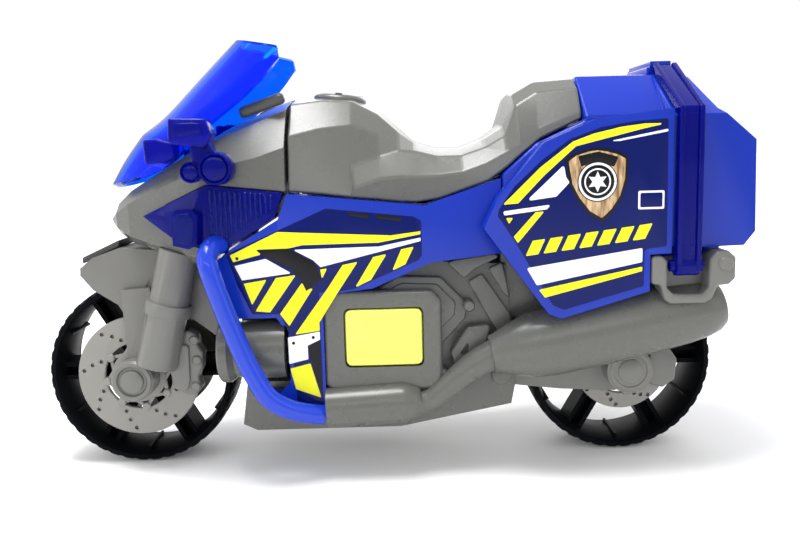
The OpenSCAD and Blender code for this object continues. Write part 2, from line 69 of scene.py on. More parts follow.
FRONT_AXLE = node_middle("front_wheel")
REAR_AXLE = node_middle("rear_wheel")
WHEEL_R = (node_box("front_wheel")[1].z - node_box("front_wheel")[0].z) / 2
WHEEL_HALF = node_box("front_wheel")[1].y
FAIRING_Y = depths("fairing_left")[0]
PANEL_Y = depths("saddle_panel_left")[0]
BUTTON_LOW, BUTTON_HIGH = node_box("sound_button")


def put(name, data):
    """A new object of the scene."""
    made = bpy.data.objects.new(name, data)
    bpy.context.scene.collection.objects.link(made)
    return made


# ---------------- shader nodes
def feed(tree, node, **inputs):
    """Sets a node's inputs and links those given an output. Underscores stand for spaces."""
    for name, value in inputs.items():
        socket = node.inputs[name.replace("_", " ")]
        if isinstance(value, bpy.types.NodeSocket):
            tree.links.new(value, socket)
        else:
            socket.default_value = value


def add_node(tree, kind, **inputs):
    node = tree.nodes.new("ShaderNode" + kind)
    feed(tree, node, **inputs)
    return node


def add_ramp(tree, fac, *stops):
    """The colour output of a ramp between two stops, each a position and a colour."""
    ramp = add_node(tree, "ValToRGB", Fac=fac)
    for element, (position, color) in zip(ramp.color_ramp.elements, stops):
        element.position = position
        element.color = (*color, 1)
    return ramp.outputs["Color"]


def new_material(name):
    mat = bpy.data.materials.new(name)
    mat.use_nodes = True
    return mat, mat.node_tree, mat.node_tree.nodes["Principled BSDF"]


# ---------------- camera, light and floor
CAMERA_AT = (3.0, -185.0, 68.6)
# Degrees
CAMERA_YAW, CAMERA_PITCH, CAMERA_ROLL = -0.23, -8.47, 1.52
CAMERA_LENS = 36.9
# Each area light: name, place, aim, width and height, power
LAMPS = [
    ("key_above", (-60, -40, 380), (0, 0, 40), (200, 130), 1.5),
    ("fill_left", (-380, -200, 160), (0, 0, 45), (160, 240), 0.22),
    ("fill_right", (380, -240, 200), (0, 0, 45), (160, 240), 0.12),
    ("front_strip", (-60, -420, 260), (0, 0, 45), (420, 50), 0.22),
    ("back_rim", (60, 420, 260), (0, 0, 50), (420, 200), 0.5),
]
# Strength of the surrounding light on the near and the far side, and where between them it fades
WORLD_FRONT, WORLD_BACK = 0.7, 1.05
FADE_FROM, FADE_TO = -0.75, 0.3
# The floor glows a little, more so further out; the distances are in metres
GLOW_FROM, GLOW_TO = 0.09, 0.3
GLOW_NEAR, GLOW_FAR = 0.04, 0.4
FLOOR_HALF = 4.0
WHITE = (1, 1, 1, 1)


def add_camera():
    data = bpy.data.cameras.new("camera")
    data.sensor_width = 36
    data.lens = CAMERA_LENS
    data.clip_start = 0.005
    data.clip_end = 20
    cam = put("camera", data)
    yaw, pitch, roll = (math.radians(a) for a in (CAMERA_YAW, CAMERA_PITCH, CAMERA_ROLL))
    turn = (Matrix.Rotation(yaw, 3, "Z") @ Matrix.Rotation(math.radians(90) + pitch, 3, "X")
            @ Matrix.Rotation(-roll, 3, "Z"))
    cam.matrix_world = Matrix.Translation(Vector(CAMERA_AT) * MM) @ turn.to_4x4()
    bpy.context.scene.camera = cam


def add_lights():
    for name, at, aim, size, power in LAMPS:
        data = bpy.data.lights.new(name, "AREA")
        data.shape = "RECTANGLE"
        data.size, data.size_y = size[0] * MM, size[1] * MM
        data.energy = power
        lamp = put(name, data)
        lamp.location = Vector(at) * MM
        lamp.rotation_euler = (Vector(aim) - Vector(at)).to_track_quat("-Z", "Y").to_euler()
    world = bpy.data.worlds.new("studio")
    world.use_nodes = True
    tree = world.node_tree
    where = add_node(tree, "TexCoord").outputs["Generated"]
    split = add_node(tree, "SeparateXYZ", Vector=where)
    fade = add_node(tree, "MapRange", Value=split.outputs["Y"], From_Min=FADE_FROM,
                    From_Max=FADE_TO, To_Min=WORLD_FRONT, To_Max=WORLD_BACK)
    feed(tree, tree.nodes["Background"], Strength=fade.outputs["Result"], Color=WHITE)
    bpy.context.scene.world = world


def add_floor():
    mesh = bpy.data.meshes.new("floor")
    s = FLOOR_HALF
    mesh.from_pydata([(-s, -s, 0), (s, -s, 0), (s, s, 0), (-s, s, 0)], [], [(0, 1, 2, 3)])
    floor = put("floor", mesh)
    mat, tree, shader = new_material("floor")
    noise = add_node(tree, "TexNoise", Scale=6)
    shade = add_node(tree, "MapRange", Value=noise.outputs["Fac"], To_Min=0.93, To_Max=0.95)
    far = tree.nodes.new("ShaderNodeVectorMath")
    far.operation = "LENGTH"
    tree.links.new(add_node(tree, "TexCoord").outputs["Object"], far.inputs[0])
    glow = add_node(tree, "MapRange", Value=far.outputs["Value"], From_Min=GLOW_FROM,
                    From_Max=GLOW_TO, To_Min=GLOW_NEAR, To_Max=GLOW_FAR)
    feed(tree, shader, Base_Color=shade.outputs["Result"], Roughness=0.7,
         Emission_Strength=glow.outputs["Result"], Emission_Color=WHITE)
    floor.data.materials.append(mat)


# ---------------- materials
# Noise scales are in features per metre, and the grain's depth is in metres
GLOSS_SCALE = 160
SPECK_SCALE = 420
GRAIN_DEPTH = 0.0004
CLEAR_IOR = 1.25
M = {}


def plastic(name, color, rough=0.3, mottle=0.06, grain=0.02, grain_scale=900.0,
            transmission=0.0, shine=0.4, ior=1.5, drift_scale=35.0, subsurface=0.0, speck=0.0):
    """Moulded plastic: slow colour drift, uneven gloss, fine surface grain and, if asked, pale
    specks. It goes into M under its name."""
    M[name], tree, shader = new_material(name)
    where = add_node(tree, "TexCoord").outputs["Object"]
    drift = add_node(tree, "TexNoise", Vector=where, Scale=drift_scale, Detail=4)
    base = add_ramp(tree, drift.outputs["Fac"], (0.3, [c * (1 - mottle) for c in color]),
                    (0.7, [min(1.0, c * (1 + mottle)) for c in color]))
    if speck:
        dots = add_node(tree, "TexVoronoi", Vector=where, Scale=SPECK_SCALE)
        small = add_node(tree, "MapRange", Value=dots.outputs["Distance"], From_Min=0.05,
                         From_Max=0.09, To_Min=speck, To_Max=0.0)
        pale = [min(1.0, c + 0.35) for c in color]
        base = add_node(tree, "MixRGB", Fac=small.outputs["Result"], Color1=base,
                        Color2=(*pale, 1)).outputs["Color"]
    gloss = add_node(tree, "TexNoise", Vector=where, Scale=GLOSS_SCALE, Detail=6)
    uneven = add_node(tree, "MapRange", Value=gloss.outputs["Fac"],
                      To_Min=max(0.02, rough - 0.02), To_Max=rough + 0.03)
    if grain:
        fine = add_node(tree, "TexNoise", Vector=where, Scale=grain_scale, Detail=3)
        bump = add_node(tree, "Bump", Height=fine.outputs["Fac"], Strength=grain,
                        Distance=GRAIN_DEPTH)
        feed(tree, shader, Normal=bump.outputs["Normal"])
    feed(tree, shader, Base_Color=base, Roughness=uneven.outputs["Result"],
         IOR=CLEAR_IOR if transmission else ior, Specular_IOR_Level=shine,
         Transmission_Weight=transmission, Subsurface_Weight=subsurface)
    if subsurface:
        feed(tree, shader, Subsurface_Radius=(0.0015, 0.0015, 0.001))
    return tree, shader


def metal(name, color, rough):
    """Plated metal, with the same colour drift and a stronger grain."""
    _, shader = plastic(name, color, rough, 0.08, 0.08, 1400)
    shader.inputs["Metallic"].default_value = 1


def wood_print():
    """The sticker's printed wood: stretched grain lines over a warm brown."""
    tree, shader = plastic("ink_wood", (0.42, 0.27, 0.13), 0.25, 0.15, 0.02, drift_scale=300,
                           shine=0.3)
    where = add_node(tree, "TexCoord").outputs["Object"]
    stretch = add_node(tree, "Mapping", Vector=where, Scale=(1.0, 1.0, 0.18))
    lines = add_node(tree, "TexNoise", Vector=stretch.outputs["Vector"], Scale=1500, Detail=5)
    feed(tree, shader, Base_Color=add_ramp(tree, lines.outputs["Fac"],
                                           (0.35, (0.20, 0.105, 0.045)),
                                           (0.62, (0.62, 0.44, 0.25))))


plastic("wheel_black", (0.0042, 0.0046, 0.006), 0.42, 0.25, 0.05, 700, shine=0.12, ior=1.2,
        speck=0.02)
metal("steel", (0.62, 0.62, 0.63), 0.25)
plastic("fork_grey", (0.150, 0.149, 0.139), 0.30, 0.05, 0.04, shine=0.5)
plastic("disc_grey", (0.245, 0.24, 0.222), 0.38, 0.05, 0.04)
plastic("body_grey", (0.102, 0.104, 0.094), 0.27, 0.04, 0.012, shine=0.5)
plastic("dark_grey", (0.055, 0.055, 0.050), 0.36, 0.08, 0.05)
plastic("shell_blue", (0.004, 0.026, 0.36), 0.2, shine=0.3)
plastic("bar_blue", (0.010, 0.045, 0.52), 0.17)
plastic("clear_blue", (0.0015, 0.115, 1.0), 0.05, 0.04, 0.0, transmission=0.97, shine=0.3)
plastic("deep_clear_blue", (0.002, 0.006, 0.36), 0.08, 0.05, 0.0, transmission=0.65, shine=0.22)
plastic("button_yellow", (0.84, 0.92, 0.15), 0.36, 0.03, 0.03, subsurface=0.25)
metal("cell_metal", (0.7, 0.7, 0.7), 0.15)
plastic("board_green", (0.02, 0.16, 0.06), 0.3, 0.1)
plastic("black_part", (0.02, 0.02, 0.023), 0.45, 0.1, 0.05)
plastic("led_clear", (0.85, 0.88, 0.95), 0.08, 0.02, 0.0, transmission=0.8)
plastic("ink_navy", (0.001, 0.0065, 0.10), 0.14, 0.05, 0.01, shine=0.18)
plastic("ink_yellow", (0.82, 0.82, 0.010), 0.22, 0.03, 0.01, shine=0.3)
plastic("ink_white", (0.86, 0.86, 0.88), 0.22, 0.02, 0.01, shine=0.3)
plastic("ink_black", (0.006, 0.006, 0.008), 0.2, 0.1, 0.01, shine=0.2)
wood_print()


# ---------------- mesh helpers
# A corner is left as it is when half its angle, in radians, is outside these
SHARPEST, FLATTEST = 0.05, math.radians(87)


def rounded(points, radius, steps=5):
    """The outline with each corner turned into an arc, as far as its edges allow."""
    out, n = [], len(points)
    for i in range(n):
        before, at, after = (Vector(points[(i + k) % n]) for k in (-1, 0, 1))
        a, b = (before - at), (after - at)
        la, lb = a.length, b.length
        a.normalize()
        b.normalize()
        half = math.acos(max(-1, min(1, a.dot(b)))) / 2
        if half > FLATTEST or half < SHARPEST:
            out.append(at)
            continue
        cut = min(radius / math.tan(half), la * 0.45, lb * 0.45)
        r = cut * math.tan(half)
        centre = at + (a + b).normalized() * (r / math.sin(half))
        start, end = at + a * cut, at + b * cut
        a0 = math.atan2(start.y - centre.y, start.x - centre.x)
        a1 = math.atan2(end.y - centre.y, end.x - centre.x)
        turn = (a1 - a0 + math.pi) % (2 * math.pi) - math.pi
        for k in range(steps + 1):
            t = a0 + turn * k / steps
            out.append(centre + Vector((math.cos(t), math.sin(t))) * r)
    return out


def area_of(points):
    n = len(points)
    return sum(points[i].x * points[(i + 1) % n].y - points[(i + 1) % n].x * points[i].y
               for i in range(n)) / 2


def inset(points, d):
    """The outline moved inwards by d; points run counter-clockwise."""
    out, n = [], len(points)
    for i in range(n):
        e0 = (points[i] - points[i - 1]).normalized()
        e1 = (points[(i + 1) % n] - points[i]).normalized()
        n0, n1 = Vector((-e0.y, e0.x)), Vector((-e1.y, e1.x))
        m = n0 + n1
        if m.length < 1e-6:
            out.append(points[i].copy())
            continue
        m.normalize()
        out.append(points[i] + m * (d / max(0.35, m.dot(n0))))
    for _ in range(6):
        for i in range(n):
            j = (i + 1) % n
            if (out[j] - out[i]).dot(points[j] - points[i]) < 0:
                out[i] = (out[i] + out[j]) / 2
                out[j] = out[i].copy()
    return out


def make_object(name, bm):
    bmesh.ops.recalc_face_normals(bm, faces=bm.faces)
    mesh = bpy.data.meshes.new(name)
    bm.to_mesh(mesh)
    bm.free()
    mesh.transform(Matrix.Scale(MM, 4))
    return put(name, mesh)


def smooth(piece, angle=35):
    piece.data.shade_smooth()
    piece.data.set_sharp_from_angle(angle=math.radians(angle))
    return piece


def dress(piece, mat, body, *nodes, slot=None):
    """Gives a piece its material and body, and hides the CAD nodes it stands for.
    The slot argument is not used."""
    piece.data.materials.clear()
    piece.data.materials.append(M[mat])
    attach(piece, body)
    if nodes:
        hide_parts(*nodes)


def mirror(piece, name):
    """A copy of a left-hand piece for the right-hand side, not yet dressed."""
    mesh = piece.data.copy()
    mesh.transform(Matrix.Scale(-1, 4, (0, 1, 0)))
    mesh.flip_normals()
    copy = put(name, mesh)
    for m in piece.modifiers:
        new = copy.modifiers.new(m.name, m.type)
        for prop in m.bl_rna.properties:
            if not prop.is_readonly and prop.identifier not in ("name", "type"):
                setattr(new, prop.identifier, getattr(m, prop.identifier))
    return copy


def pair(piece, mat, node=None, slot=None, bodies=("frame", "frame")):
    """Dresses a left-hand piece named *_left and makes its mirrored *_right twin."""
    twin = mirror(piece, piece.name.replace("_left", "_right"))
    for one, body, side in zip((piece, twin), bodies, ("_left", "_right")):
        dress(one, mat, body, *([node + side] if node else []), slot=slot)


def mesh_pair(name, bm, mat, node=None, angle=35, **more):
    """The left-hand piece of a bmesh, smoothed, with its mirrored twin."""
    pair(smooth(make_object(name + "_left", bm), angle), mat, node, **more)


def rect(x0, z0, x1, z1):
    return [(x0, z0), (x1, z0), (x1, z1), (x0, z1)]


def add_slab(bm, outline, face_at, back_at, edge, fillet, axis="y", both=False, steps=4):
    """Adds a plate with rounded outer edges. Its outline lies across the axis, as XZ points for a
    plate along Y and YZ points for one along X. With both, its back edges are rounded as well."""
    pts = [Vector(p) for p in outline]
    if fillet:
        pts = rounded(pts, fillet)
    if area_of(pts) < 0:
        pts.reverse()
    toward = 1 if back_at > face_at else -1
    curve = [math.pi / 2 * k / steps for k in range(steps + 1)]
    turns = [(edge * (1 - math.cos(t)), edge * (1 - math.sin(t))) for t in curve]
    levels = [(d, face_at + lift * toward) for d, lift in turns]
    if both:
        levels = [(d, back_at - lift * toward) for d, lift in reversed(turns)] + levels
    else:
        levels = [(0, back_at)] + levels
    made = []
    for d, h in levels:
        ring = inset(pts, d) if d else pts
        made.append((ring, [bm.verts.new((p.x, h, p.y) if axis == "y" else (h, p.x, p.y))
                            for p in ring]))
    n = len(pts)
    for (_, a), (_, b) in zip(made, made[1:]):
        for i in range(n):
            bm.faces.new((a[i], a[(i + 1) % n], b[(i + 1) % n], b[i]))
    for ring, verts in (made[-1], made[0]):
        cap(bm, verts, ring)
    return bm


def slab(name, *shape, **more):
    """The same plate as an object of its own."""
    return make_object(name, add_slab(bmesh.new(), *shape, **more))


def cap(bm, verts, outline):
    """Fills a ring of vertices with triangles."""
    n = len(outline)
    edges = [(i, (i + 1) % n) for i in range(n)]
    flat, _, faces, source, _, _ = geometry.delaunay_2d_cdt(outline, edges, [], 1, 1e-5)
    nearest = [s[0] if s else min(range(n), key=lambda k: (outline[k] - p).length)
               for s, p in zip(source, flat)]
    for f in faces:
        ring = [verts[nearest[i]] for i in f]
        if len(set(ring)) == 3:
            try:
                bm.faces.new(ring)
            except ValueError:
                pass


def both_ways(half):
    """A (radius, y) profile that is the same on both sides of y = 0, from its positive half."""
    return [(r, -y) for r, y in half[::-1]] + half


def lathe(bm, profile, segments, at=(0, 0, 0), turn=None, closed=False):
    """Adds (radius, y) pairs turned about the Y axis, then turned by a matrix if asked and moved
    to their place. Points on the axis close the ends."""
    rings = []
    for r, y in profile:
        turns = [2 * math.pi * i / segments for i in range(segments if r > 1e-6 else 1)]
        spots = [Vector((r * math.cos(t), y, r * math.sin(t))) for t in turns]
        rings.append([bm.verts.new((turn @ p if turn else p) + Vector(at)) for p in spots])
    for a, b in zip(rings, rings[1:] + ([rings[0]] if closed else [])):
        for i in range(segments):
            j = (i + 1) % segments
            corners = (a[i % len(a)], a[j % len(a)], b[j % len(b)], b[i % len(b)])
            corners = list(dict.fromkeys(corners))
            if len(corners) > 2:
                bm.faces.new(corners)
    return bm


def smooth_path(points, per=8):
    """Points along a Catmull-Rom curve through the given ones."""
    p = [Vector(q) for q in points]
    p = [p[0] * 2 - p[1]] + p + [p[-1] * 2 - p[-2]]
    out = []
    for i in range(1, len(p) - 2):
        for k in range(per):
            t = k / per
            out.append(0.5 * ((2 * p[i]) + (p[i + 1] - p[i - 1]) * t
                              + (2 * p[i - 1] - 5 * p[i] + 4 * p[i + 1] - p[i + 2]) * t * t
                              + (3 * p[i] - p[i - 1] - 3 * p[i + 1] + p[i + 2]) * t ** 3))
    out.append(p[-2])
    return out


def spread(values, per):
    """Values between the given ones, to go with the points of smooth_path."""
    return [a + (b - a) * k / per for a, b in zip(values, values[1:])
            for k in range(per)] + [values[-1]]


def add_tube(bm, points, radii, sides):
    """Adds a round tube along points, with a radius for each."""
    up = Vector((0, 1, 0))
    rings = []
    for i, p in enumerate(points):
        along = (points[min(i + 1, len(points) - 1)] - points[max(i - 1, 0)]).normalized()
        side = along.cross(up).normalized()
        up = side.cross(along).normalized()
        rings.append([bm.verts.new(p + (side * math.cos(2 * math.pi * k / sides)
                                        + up * math.sin(2 * math.pi * k / sides)) * radii[i])
                      for k in range(sides)])
    for a, b in zip(rings, rings[1:]):
        for k in range(sides):
            bm.faces.new((a[k], a[(k + 1) % sides], b[(k + 1) % sides], b[k]))
    bm.faces.new(rings[0])
    bm.faces.new(rings[-1][::-1])
    return bm


def add_block(bm, low, high, turn):
    """Adds a box to a bmesh, turned by a matrix."""
    low, high = Vector(low), Vector(high)
    made = bmesh.ops.create_cube(bm, size=1)["verts"]
    for v in made:
        v.co = turn @ Vector([low[k] + (v.co[k] + 0.5) * (high[k] - low[k]) for k in range(3)])
    return made


def bevelled(piece, width, segments=3, angle=30):
    m = piece.modifiers.new("edge", "BEVEL")
    m.width = width * MM
    m.segments = segments
    m.limit_method = "ANGLE"
    m.angle_limit = math.radians(angle)
    m.harden_normals = True
    m.use_clamp_overlap = True
    m.miter_outer = "MITER_ARC"
    piece.data.shade_smooth()
    return piece


def cut(piece, *cutters):
    """Takes the cutters' shapes out of a piece and removes them."""
    for c in cutters:
        m = piece.modifiers.new("cut", "BOOLEAN")
        m.operation = "DIFFERENCE"
        m.solver = "EXACT"
        m.object = c
    bpy.context.view_layer.update()
    graph = bpy.context.evaluated_depsgraph_get()
    mesh = bpy.data.meshes.new_from_object(piece.evaluated_get(graph))
    piece.modifiers.clear()
    piece.data = mesh
    for c in cutters:
        bpy.data.objects.remove(c)
    return piece


def round_bar(name, centre, r, half):
    """A cylinder along Y, used for cutting."""
    return make_object(name, lathe(bmesh.new(), both_ways([(r, half), (0, half)]), 96,
                                   (centre.x, 0, centre.z)))


def loft(name, stations, wall):
    """A moulded shell over the bike's middle. Each station is an x, the height of its middle and
    (height, half width) points from the lower edge up, with None for one it leaves out. Without a
    wall it is solid."""
    bm = bmesh.new()
    sides = [[{k: bm.verts.new((x, hand * p[1], p[0])) for k, p in enumerate(pts) if p}
              for x, _, *pts in stations] for hand in (-1, 1)]
    middles = [bm.verts.new((x, 0, z)) for x, z, *_ in stations]
    for rows in sides:
        for row, middle in zip(rows, middles):
            row[len(stations[0])] = middle
        for a, b in zip(rows, rows[1:]):
            keys = sorted({*a, *b})
            shared = [k for k in keys if k in a and k in b]
            for low, high in zip(shared, shared[1:]):
                between = keys[keys.index(low) + 1:keys.index(high)]
                bm.faces.new([a[low], b[low], *[b[k] for k in between if k in b], b[high], a[high],
                              *[a[k] for k in reversed(between) if k in a]])
    if not wall:
        for i in (0, -1):
            left, right = ([rows[i][k] for k in sorted(rows[i])] for rows in sides)
            bm.faces.new(left + right[-2::-1])
        left, right = ([row[0] for row in rows] for rows in sides)
        for i in range(len(stations) - 1):
            bm.faces.new((left[i], right[i], right[i + 1], left[i + 1]))
    piece = make_object(name, bm)
    if wall:
        thicken(piece, wall)
    return piece


def thicken(piece, wall):
    """Gives an open shell its wall, on the inner side."""
    thick = piece.modifiers.new("thickness", "SOLIDIFY")
    thick.thickness = wall * MM
    thick.offset = -1


def soft_copy(node, width, segments=3):
    """A copy of a CAD node's shape with clean faces and rounded edges."""
    bm = bmesh.new()
    bm.from_mesh(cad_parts[node].data)
    bmesh.ops.scale(bm, vec=(1 / MM,) * 3, verts=bm.verts)
    bmesh.ops.remove_doubles(bm, verts=bm.verts, dist=0.002)
    bmesh.ops.dissolve_limit(bm, angle_limit=math.radians(1.0), verts=bm.verts, edges=bm.edges)
    return bevelled(make_object(node + "_shell", bm), width, segments)


def soft_pair(node, mat, width, segments=3):
    pair(soft_copy(node + "_left", width, segments), mat, node)


# ---------------- wheels
SPOKES = 6
TREAD_SEGMENTS = 240
NOTCH_EVERY = 6
NOTCH_DEPTH = 0.2
# The rings of the tread's profile that the notches cut into
NOTCHED_RINGS = (4, 5, 6, 11, 12, 13)
DISC_ARMS = 8
DISC_BOSS = 4.65
ARM_LEAN = math.degrees(0.42)
FRONT_DISC_R = 13.3


def wheel(node, centre):
    """A black moulded wheel: notched tread, thin rim, double-rib spokes and hub."""
    w, r = WHEEL_HALF, WHEEL_R
    tyre = [(r, 2), (r - 0.03, w - 3.2), (r - 0.12, w - 2.6), (r - 0.25, w - 0.7),
            (r - 0.5, w - 0.25), (r - 0.8, w), (r - 1.6, w), (r - 1.85, w - 0.4), (r - 2.5, 0.8)]
    bm = lathe(bmesh.new(), both_ways(tyre), TREAD_SEGMENTS, closed=True)
    bm.verts.ensure_lookup_table()
    for ring in NOTCHED_RINGS:
        for i in range(TREAD_SEGMENTS):
            if i % NOTCH_EVERY in (0, 1):
                v = bm.verts[ring * TREAD_SEGMENTS + i]
                v.co -= Vector((v.co.x, 0, v.co.z)).normalized() * NOTCH_DEPTH
    lathe(bm, both_ways([(4.2, w - 0.5), (3.6, w), (1.55, w)]), 48, closed=True)
    for k in range(SPOKES):
        turn = Matrix.Rotation(2 * math.pi * k / SPOKES, 3, "Y")
        for s in (-1, 1):
            add_block(bm, (3.7, -3.6, s * 1.45 - 0.5), (r - 1.9, 3.6, s * 1.45 + 0.5), turn)
        add_block(bm, (3.7, -0.8, -1.4), (r - 1.9, 0.8, 1.4), turn)
        between = Matrix.Rotation(2 * math.pi * (k + 0.5) / SPOKES, 3, "Y")
        add_block(bm, (r - 2.9, -w + 2.2, -0.25), (r - 1.9, w - 2.2, 0.25), between)
    bmesh.ops.translate(bm, vec=centre, verts=bm.verts)
    dress(smooth(make_object(node + "_moulding", bm), 30), "wheel_black", node, node)


def around(r, degrees):
    """A point at a distance from the Y axis."""
    turn = math.radians(degrees)
    return Vector((r * math.cos(turn), 0, r * math.sin(turn)))


def brake_disc(node, centre, r, inner):
    """A drilled disc with a ring of round bobbins on forked arms."""
    face, back = depths(node + "_left")
    axle = Vector((centre.x, 0, centre.z))
    step = 360 / DISC_ARMS
    ring = [(inner, back), (inner, face + 0.15), (inner + 0.15, face), (r - 0.2, face),
            (r, face + 0.2), (r, back - 0.2), (r - 0.2, back)]
    piece = make_object(node + "_plate_left", lathe(bmesh.new(), ring, 120, axle, closed=True))
    holes = bmesh.new()
    hole = [(0, face - 1), (0.45, face - 1), (0.45, back - 0.25), (0, back - 0.25)]
    for i in range(DISC_ARMS):
        for j in range(3):
            at = inner + (r - inner) * (0.22 + 0.28 * j)
            lathe(holes, hole, 16, axle + around(at, step * (i + 0.5) + 8 * j))
    pair(smooth(cut(piece, make_object("holes", holes)), 30), "disc_grey", node)
    b = DISC_BOSS
    spider = lathe(bmesh.new(), [(b, back), (b, face - 0.1), (b + 1.1, face - 0.1),
                                 (b + 1.3, face + 0.1), (b + 1.3, back)], 64, closed=True)
    bobbin = [(0, face - 0.35), (0.75, face - 0.35), (0.95, face - 0.15), (0.95, back), (0, back)]
    for i in range(DISC_ARMS):
        turn = step * i + 10
        at = around(inner - 0.2, turn)
        lathe(spider, bobbin, 24, at)
        for lean in (-ARM_LEAN, ARM_LEAN):
            foot = around(b + 0.9, turn + lean)
            span = at - foot
            arm = Matrix.Rotation(-math.atan2(span.z, span.x), 3, "Y")
            block = add_block(spider, (0, face + 0.05, -0.32), (span.length, back - 0.05, 0.32), arm)
            bmesh.ops.translate(spider, vec=foot, verts=block)
    bmesh.ops.translate(spider, vec=axle, verts=spider.verts)
    mesh_pair(node + "_plate_spider", spider, "disc_grey", angle=30)


def add_wheels():
    wheel("front_wheel", FRONT_AXLE)
    wheel("rear_wheel", REAR_AXLE)
    brake_disc("front_disc", FRONT_AXLE, FRONT_DISC_R, 7.4)
    brake_disc("rear_disc", REAR_AXLE, 10.4, 6.9)


def hub_cap(name, centre, y, r):
    """The plain round end of an axle boss, with a raised lip round a flat cap."""
    prof = [(0, y - 0.1), (r * 0.46, y - 0.1), (r * 0.52, y + 0.1), (r * 0.54, y + 0.6),
            (r * 0.66, y + 0.65), (r * 0.73, y + 0.1), (r * 0.88, y + 0.1), (r * 0.99, y + 0.6),
            (r, y + 2.6), (0, y + 2.6)]
    mesh_pair(name, lathe(bmesh.new(), prof, 72, (centre.x, 0, centre.z)), "fork_grey", angle=40)


# ---------------- front end
FENDER = [(-65.3, 43.2), (-65.2, 44.8), (-62.4, 47.0), (-56.6, 49.0), (-47, 48.2), (-38.6, 44.4),
          (-35.7, 38), (-35.3, 31), (-37, 29.4), (-41.5, 33), (-55.8, 33.2), (-57.6, 36.6),
          (-62.8, 40)]
CALIPER = [(-46.5, 23), (-46.3, 18.6), (-43.4, 17), (-41.2, 16.8), (-39.9, 18.4), (-40.5, 21),
           (-39.5, 22.8), (-39.2, 26.2), (-40.2, 27.8), (-40.3, 30.2), (-42.4, 31.3), (-44.2, 30.2),
           (-44.5, 27)]
CALIPER_STEP = [(-46.5, 22.6), (-45.4, 18.4), (-43, 17.6), (-42.2, 20), (-42, 28), (-44, 28.4)]
CALIPER_BOLTS = [(-41, 29), (-40.6, 24.6), (-41.2, 18.8)]
FENDER_WING = [(-65.6, 45.4), (-57.4, 49), (-57, 50.6), (-65.5, 46.8)]


def add_fork():
    soft_pair("fork", "fork_grey", 0.5)
    hub_cap("front_hub_cap", FRONT_AXLE, depths("fork_left")[0] + 4.1, 4.6)
    face, back = depths("front_caliper_left")
    bm = add_slab(bmesh.new(), CALIPER, face + 0.4, back, 0.6, 1.2)
    add_slab(bm, CALIPER_STEP, face - 0.3, back, 0.4, 0.8)
    bolt = [(0, face), (0.8, face), (1.05, face + 0.25), (1.1, face + 1.2), (0, face + 1.2)]
    for x, z in CALIPER_BOLTS:
        lathe(bm, bolt, 24, (x, 0, z))
    mesh_pair("front_caliper_body", bm, "fork_grey", "front_caliper")


def add_fender():
    """The fender, hollowed for the tyre and the discs, and the small plate on its nose."""
    solid = slab("front_fender_moulding", FENDER, *depths("front_fender"), 0.01, 0)
    piece = bevelled(solid, 2.6, 8)
    cut(piece, round_bar("arch", FRONT_AXLE, WHEEL_R + 1.0, 8.1),
        round_bar("disc_room", FRONT_AXLE, FRONT_DISC_R + 0.4, 12))
    dress(smooth(piece, 40), "fork_grey", "frame", "front_fender")
    plate = slab("fender_wing", FENDER_WING, -7.2, 7.2, 0.3, 0.3, both=True)
    dress(bevelled(plate, 0.35), "dark_grey", "frame", "fender_plate")


# Stations of the cowl: x, height of the middle, then height and half width of the lower edge,
# side bottom, side top and shoulder
COWL = [
    (-59.4, 56.4, (53.6, 2.6), None, (54.8, 4.0), None),
    (-57.2, 59.4, (51.8, 5.2), (53.2, 7.6), (56.2, 8.0), (58.2, 5.4)),
    (-53.4, 62.3, (49.8, 8.2), (51.6, 11.2), (58.4, 11.4), (61.0, 8.4)),
    (-47.5, 65.8, (48.2, 11.2), (50.0, 14.4), (61.0, 14.4), (64.2, 11.4)),
    (-41, 69.6, (46.6, 14.8), (48.4, 17.2), (63.4, 17.0), (67.6, 13.8)),
    (-36.4, 72.2, (45.4, 17.0), (47.0, 18.7), (64.8, 18.6), (70.0, 14.8)),
    (-32, 74.6, (48.8, 18.5), (50.2, 19.0), (66.0, 18.9), (71.8, 15.2)),
    (-25, 77.4, (53.2, 18.8), (54.8, 19.2), (67.4, 18.9), (74.6, 14.2)),
    (-19.1, 79.7, (60.4, 19.1), (61.6, 19.2), (69.4, 17.8), (77.2, 11.6)),
]
LENS_OUTLINE = [(-49.7, 56), (-35, 62.4), (-19, 60.6), (-21.2, 55.3), (-32.4, 48.4), (-42, 50.8)]
# Rows of the screen from its top edge down to the tip, each from the middle out to the rim and
# then over it
SCREEN = [
    [(-31, 0, 92.3), (-30, -6, 92.2), (-27.4, -11, 91.5), (-20, -14.3, 89.9), (-19.6, -14.6, 87.4)],
    [(-36.5, 0, 87.4), (-35.4, -7, 86.6), (-32.6, -12, 85.2), (-25.2, -15, 85.5),
     (-23.2, -15.9, 83.4)],
    [(-41.6, 0, 82.3), (-40.6, -8, 81.2), (-38, -13, 79.6), (-31.3, -15.8, 80.6),
     (-28.4, -16.8, 78.6)],
    [(-46.8, 0, 77), (-45.8, -9, 75.6), (-43, -13.8, 74.2), (-37.7, -16.4, 75.6),
     (-33.4, -17.3, 75.2)],
    [(-51.8, 0, 73.6), (-50.6, -8, 72.9), (-47.4, -12.2, 71.8), (-42.6, -15.4, 70.8),
     (-39.4, -16.6, 69.6)],
    [(-56.4, 0, 68), (-55.2, -7, 67.6), (-51.8, -11.2, 67.4), (-46.4, -14.6, 67),
     (-43.2, -15.8, 66.2)],
    [(-59.9, 0, 62.2), (-58.6, -5.5, 62.4), (-56.2, -8.6, 62.7), (-51, -12.4, 64),
     (-49.4, -13, 63.7)],
]
# The column and the row of the screen along which it is creased
RIM_COLUMN = 3
BROW_ROW = 4
RIM_CREASE, BROW_CREASE, EDGE_CREASE = 0.85, 0.6, 0.9


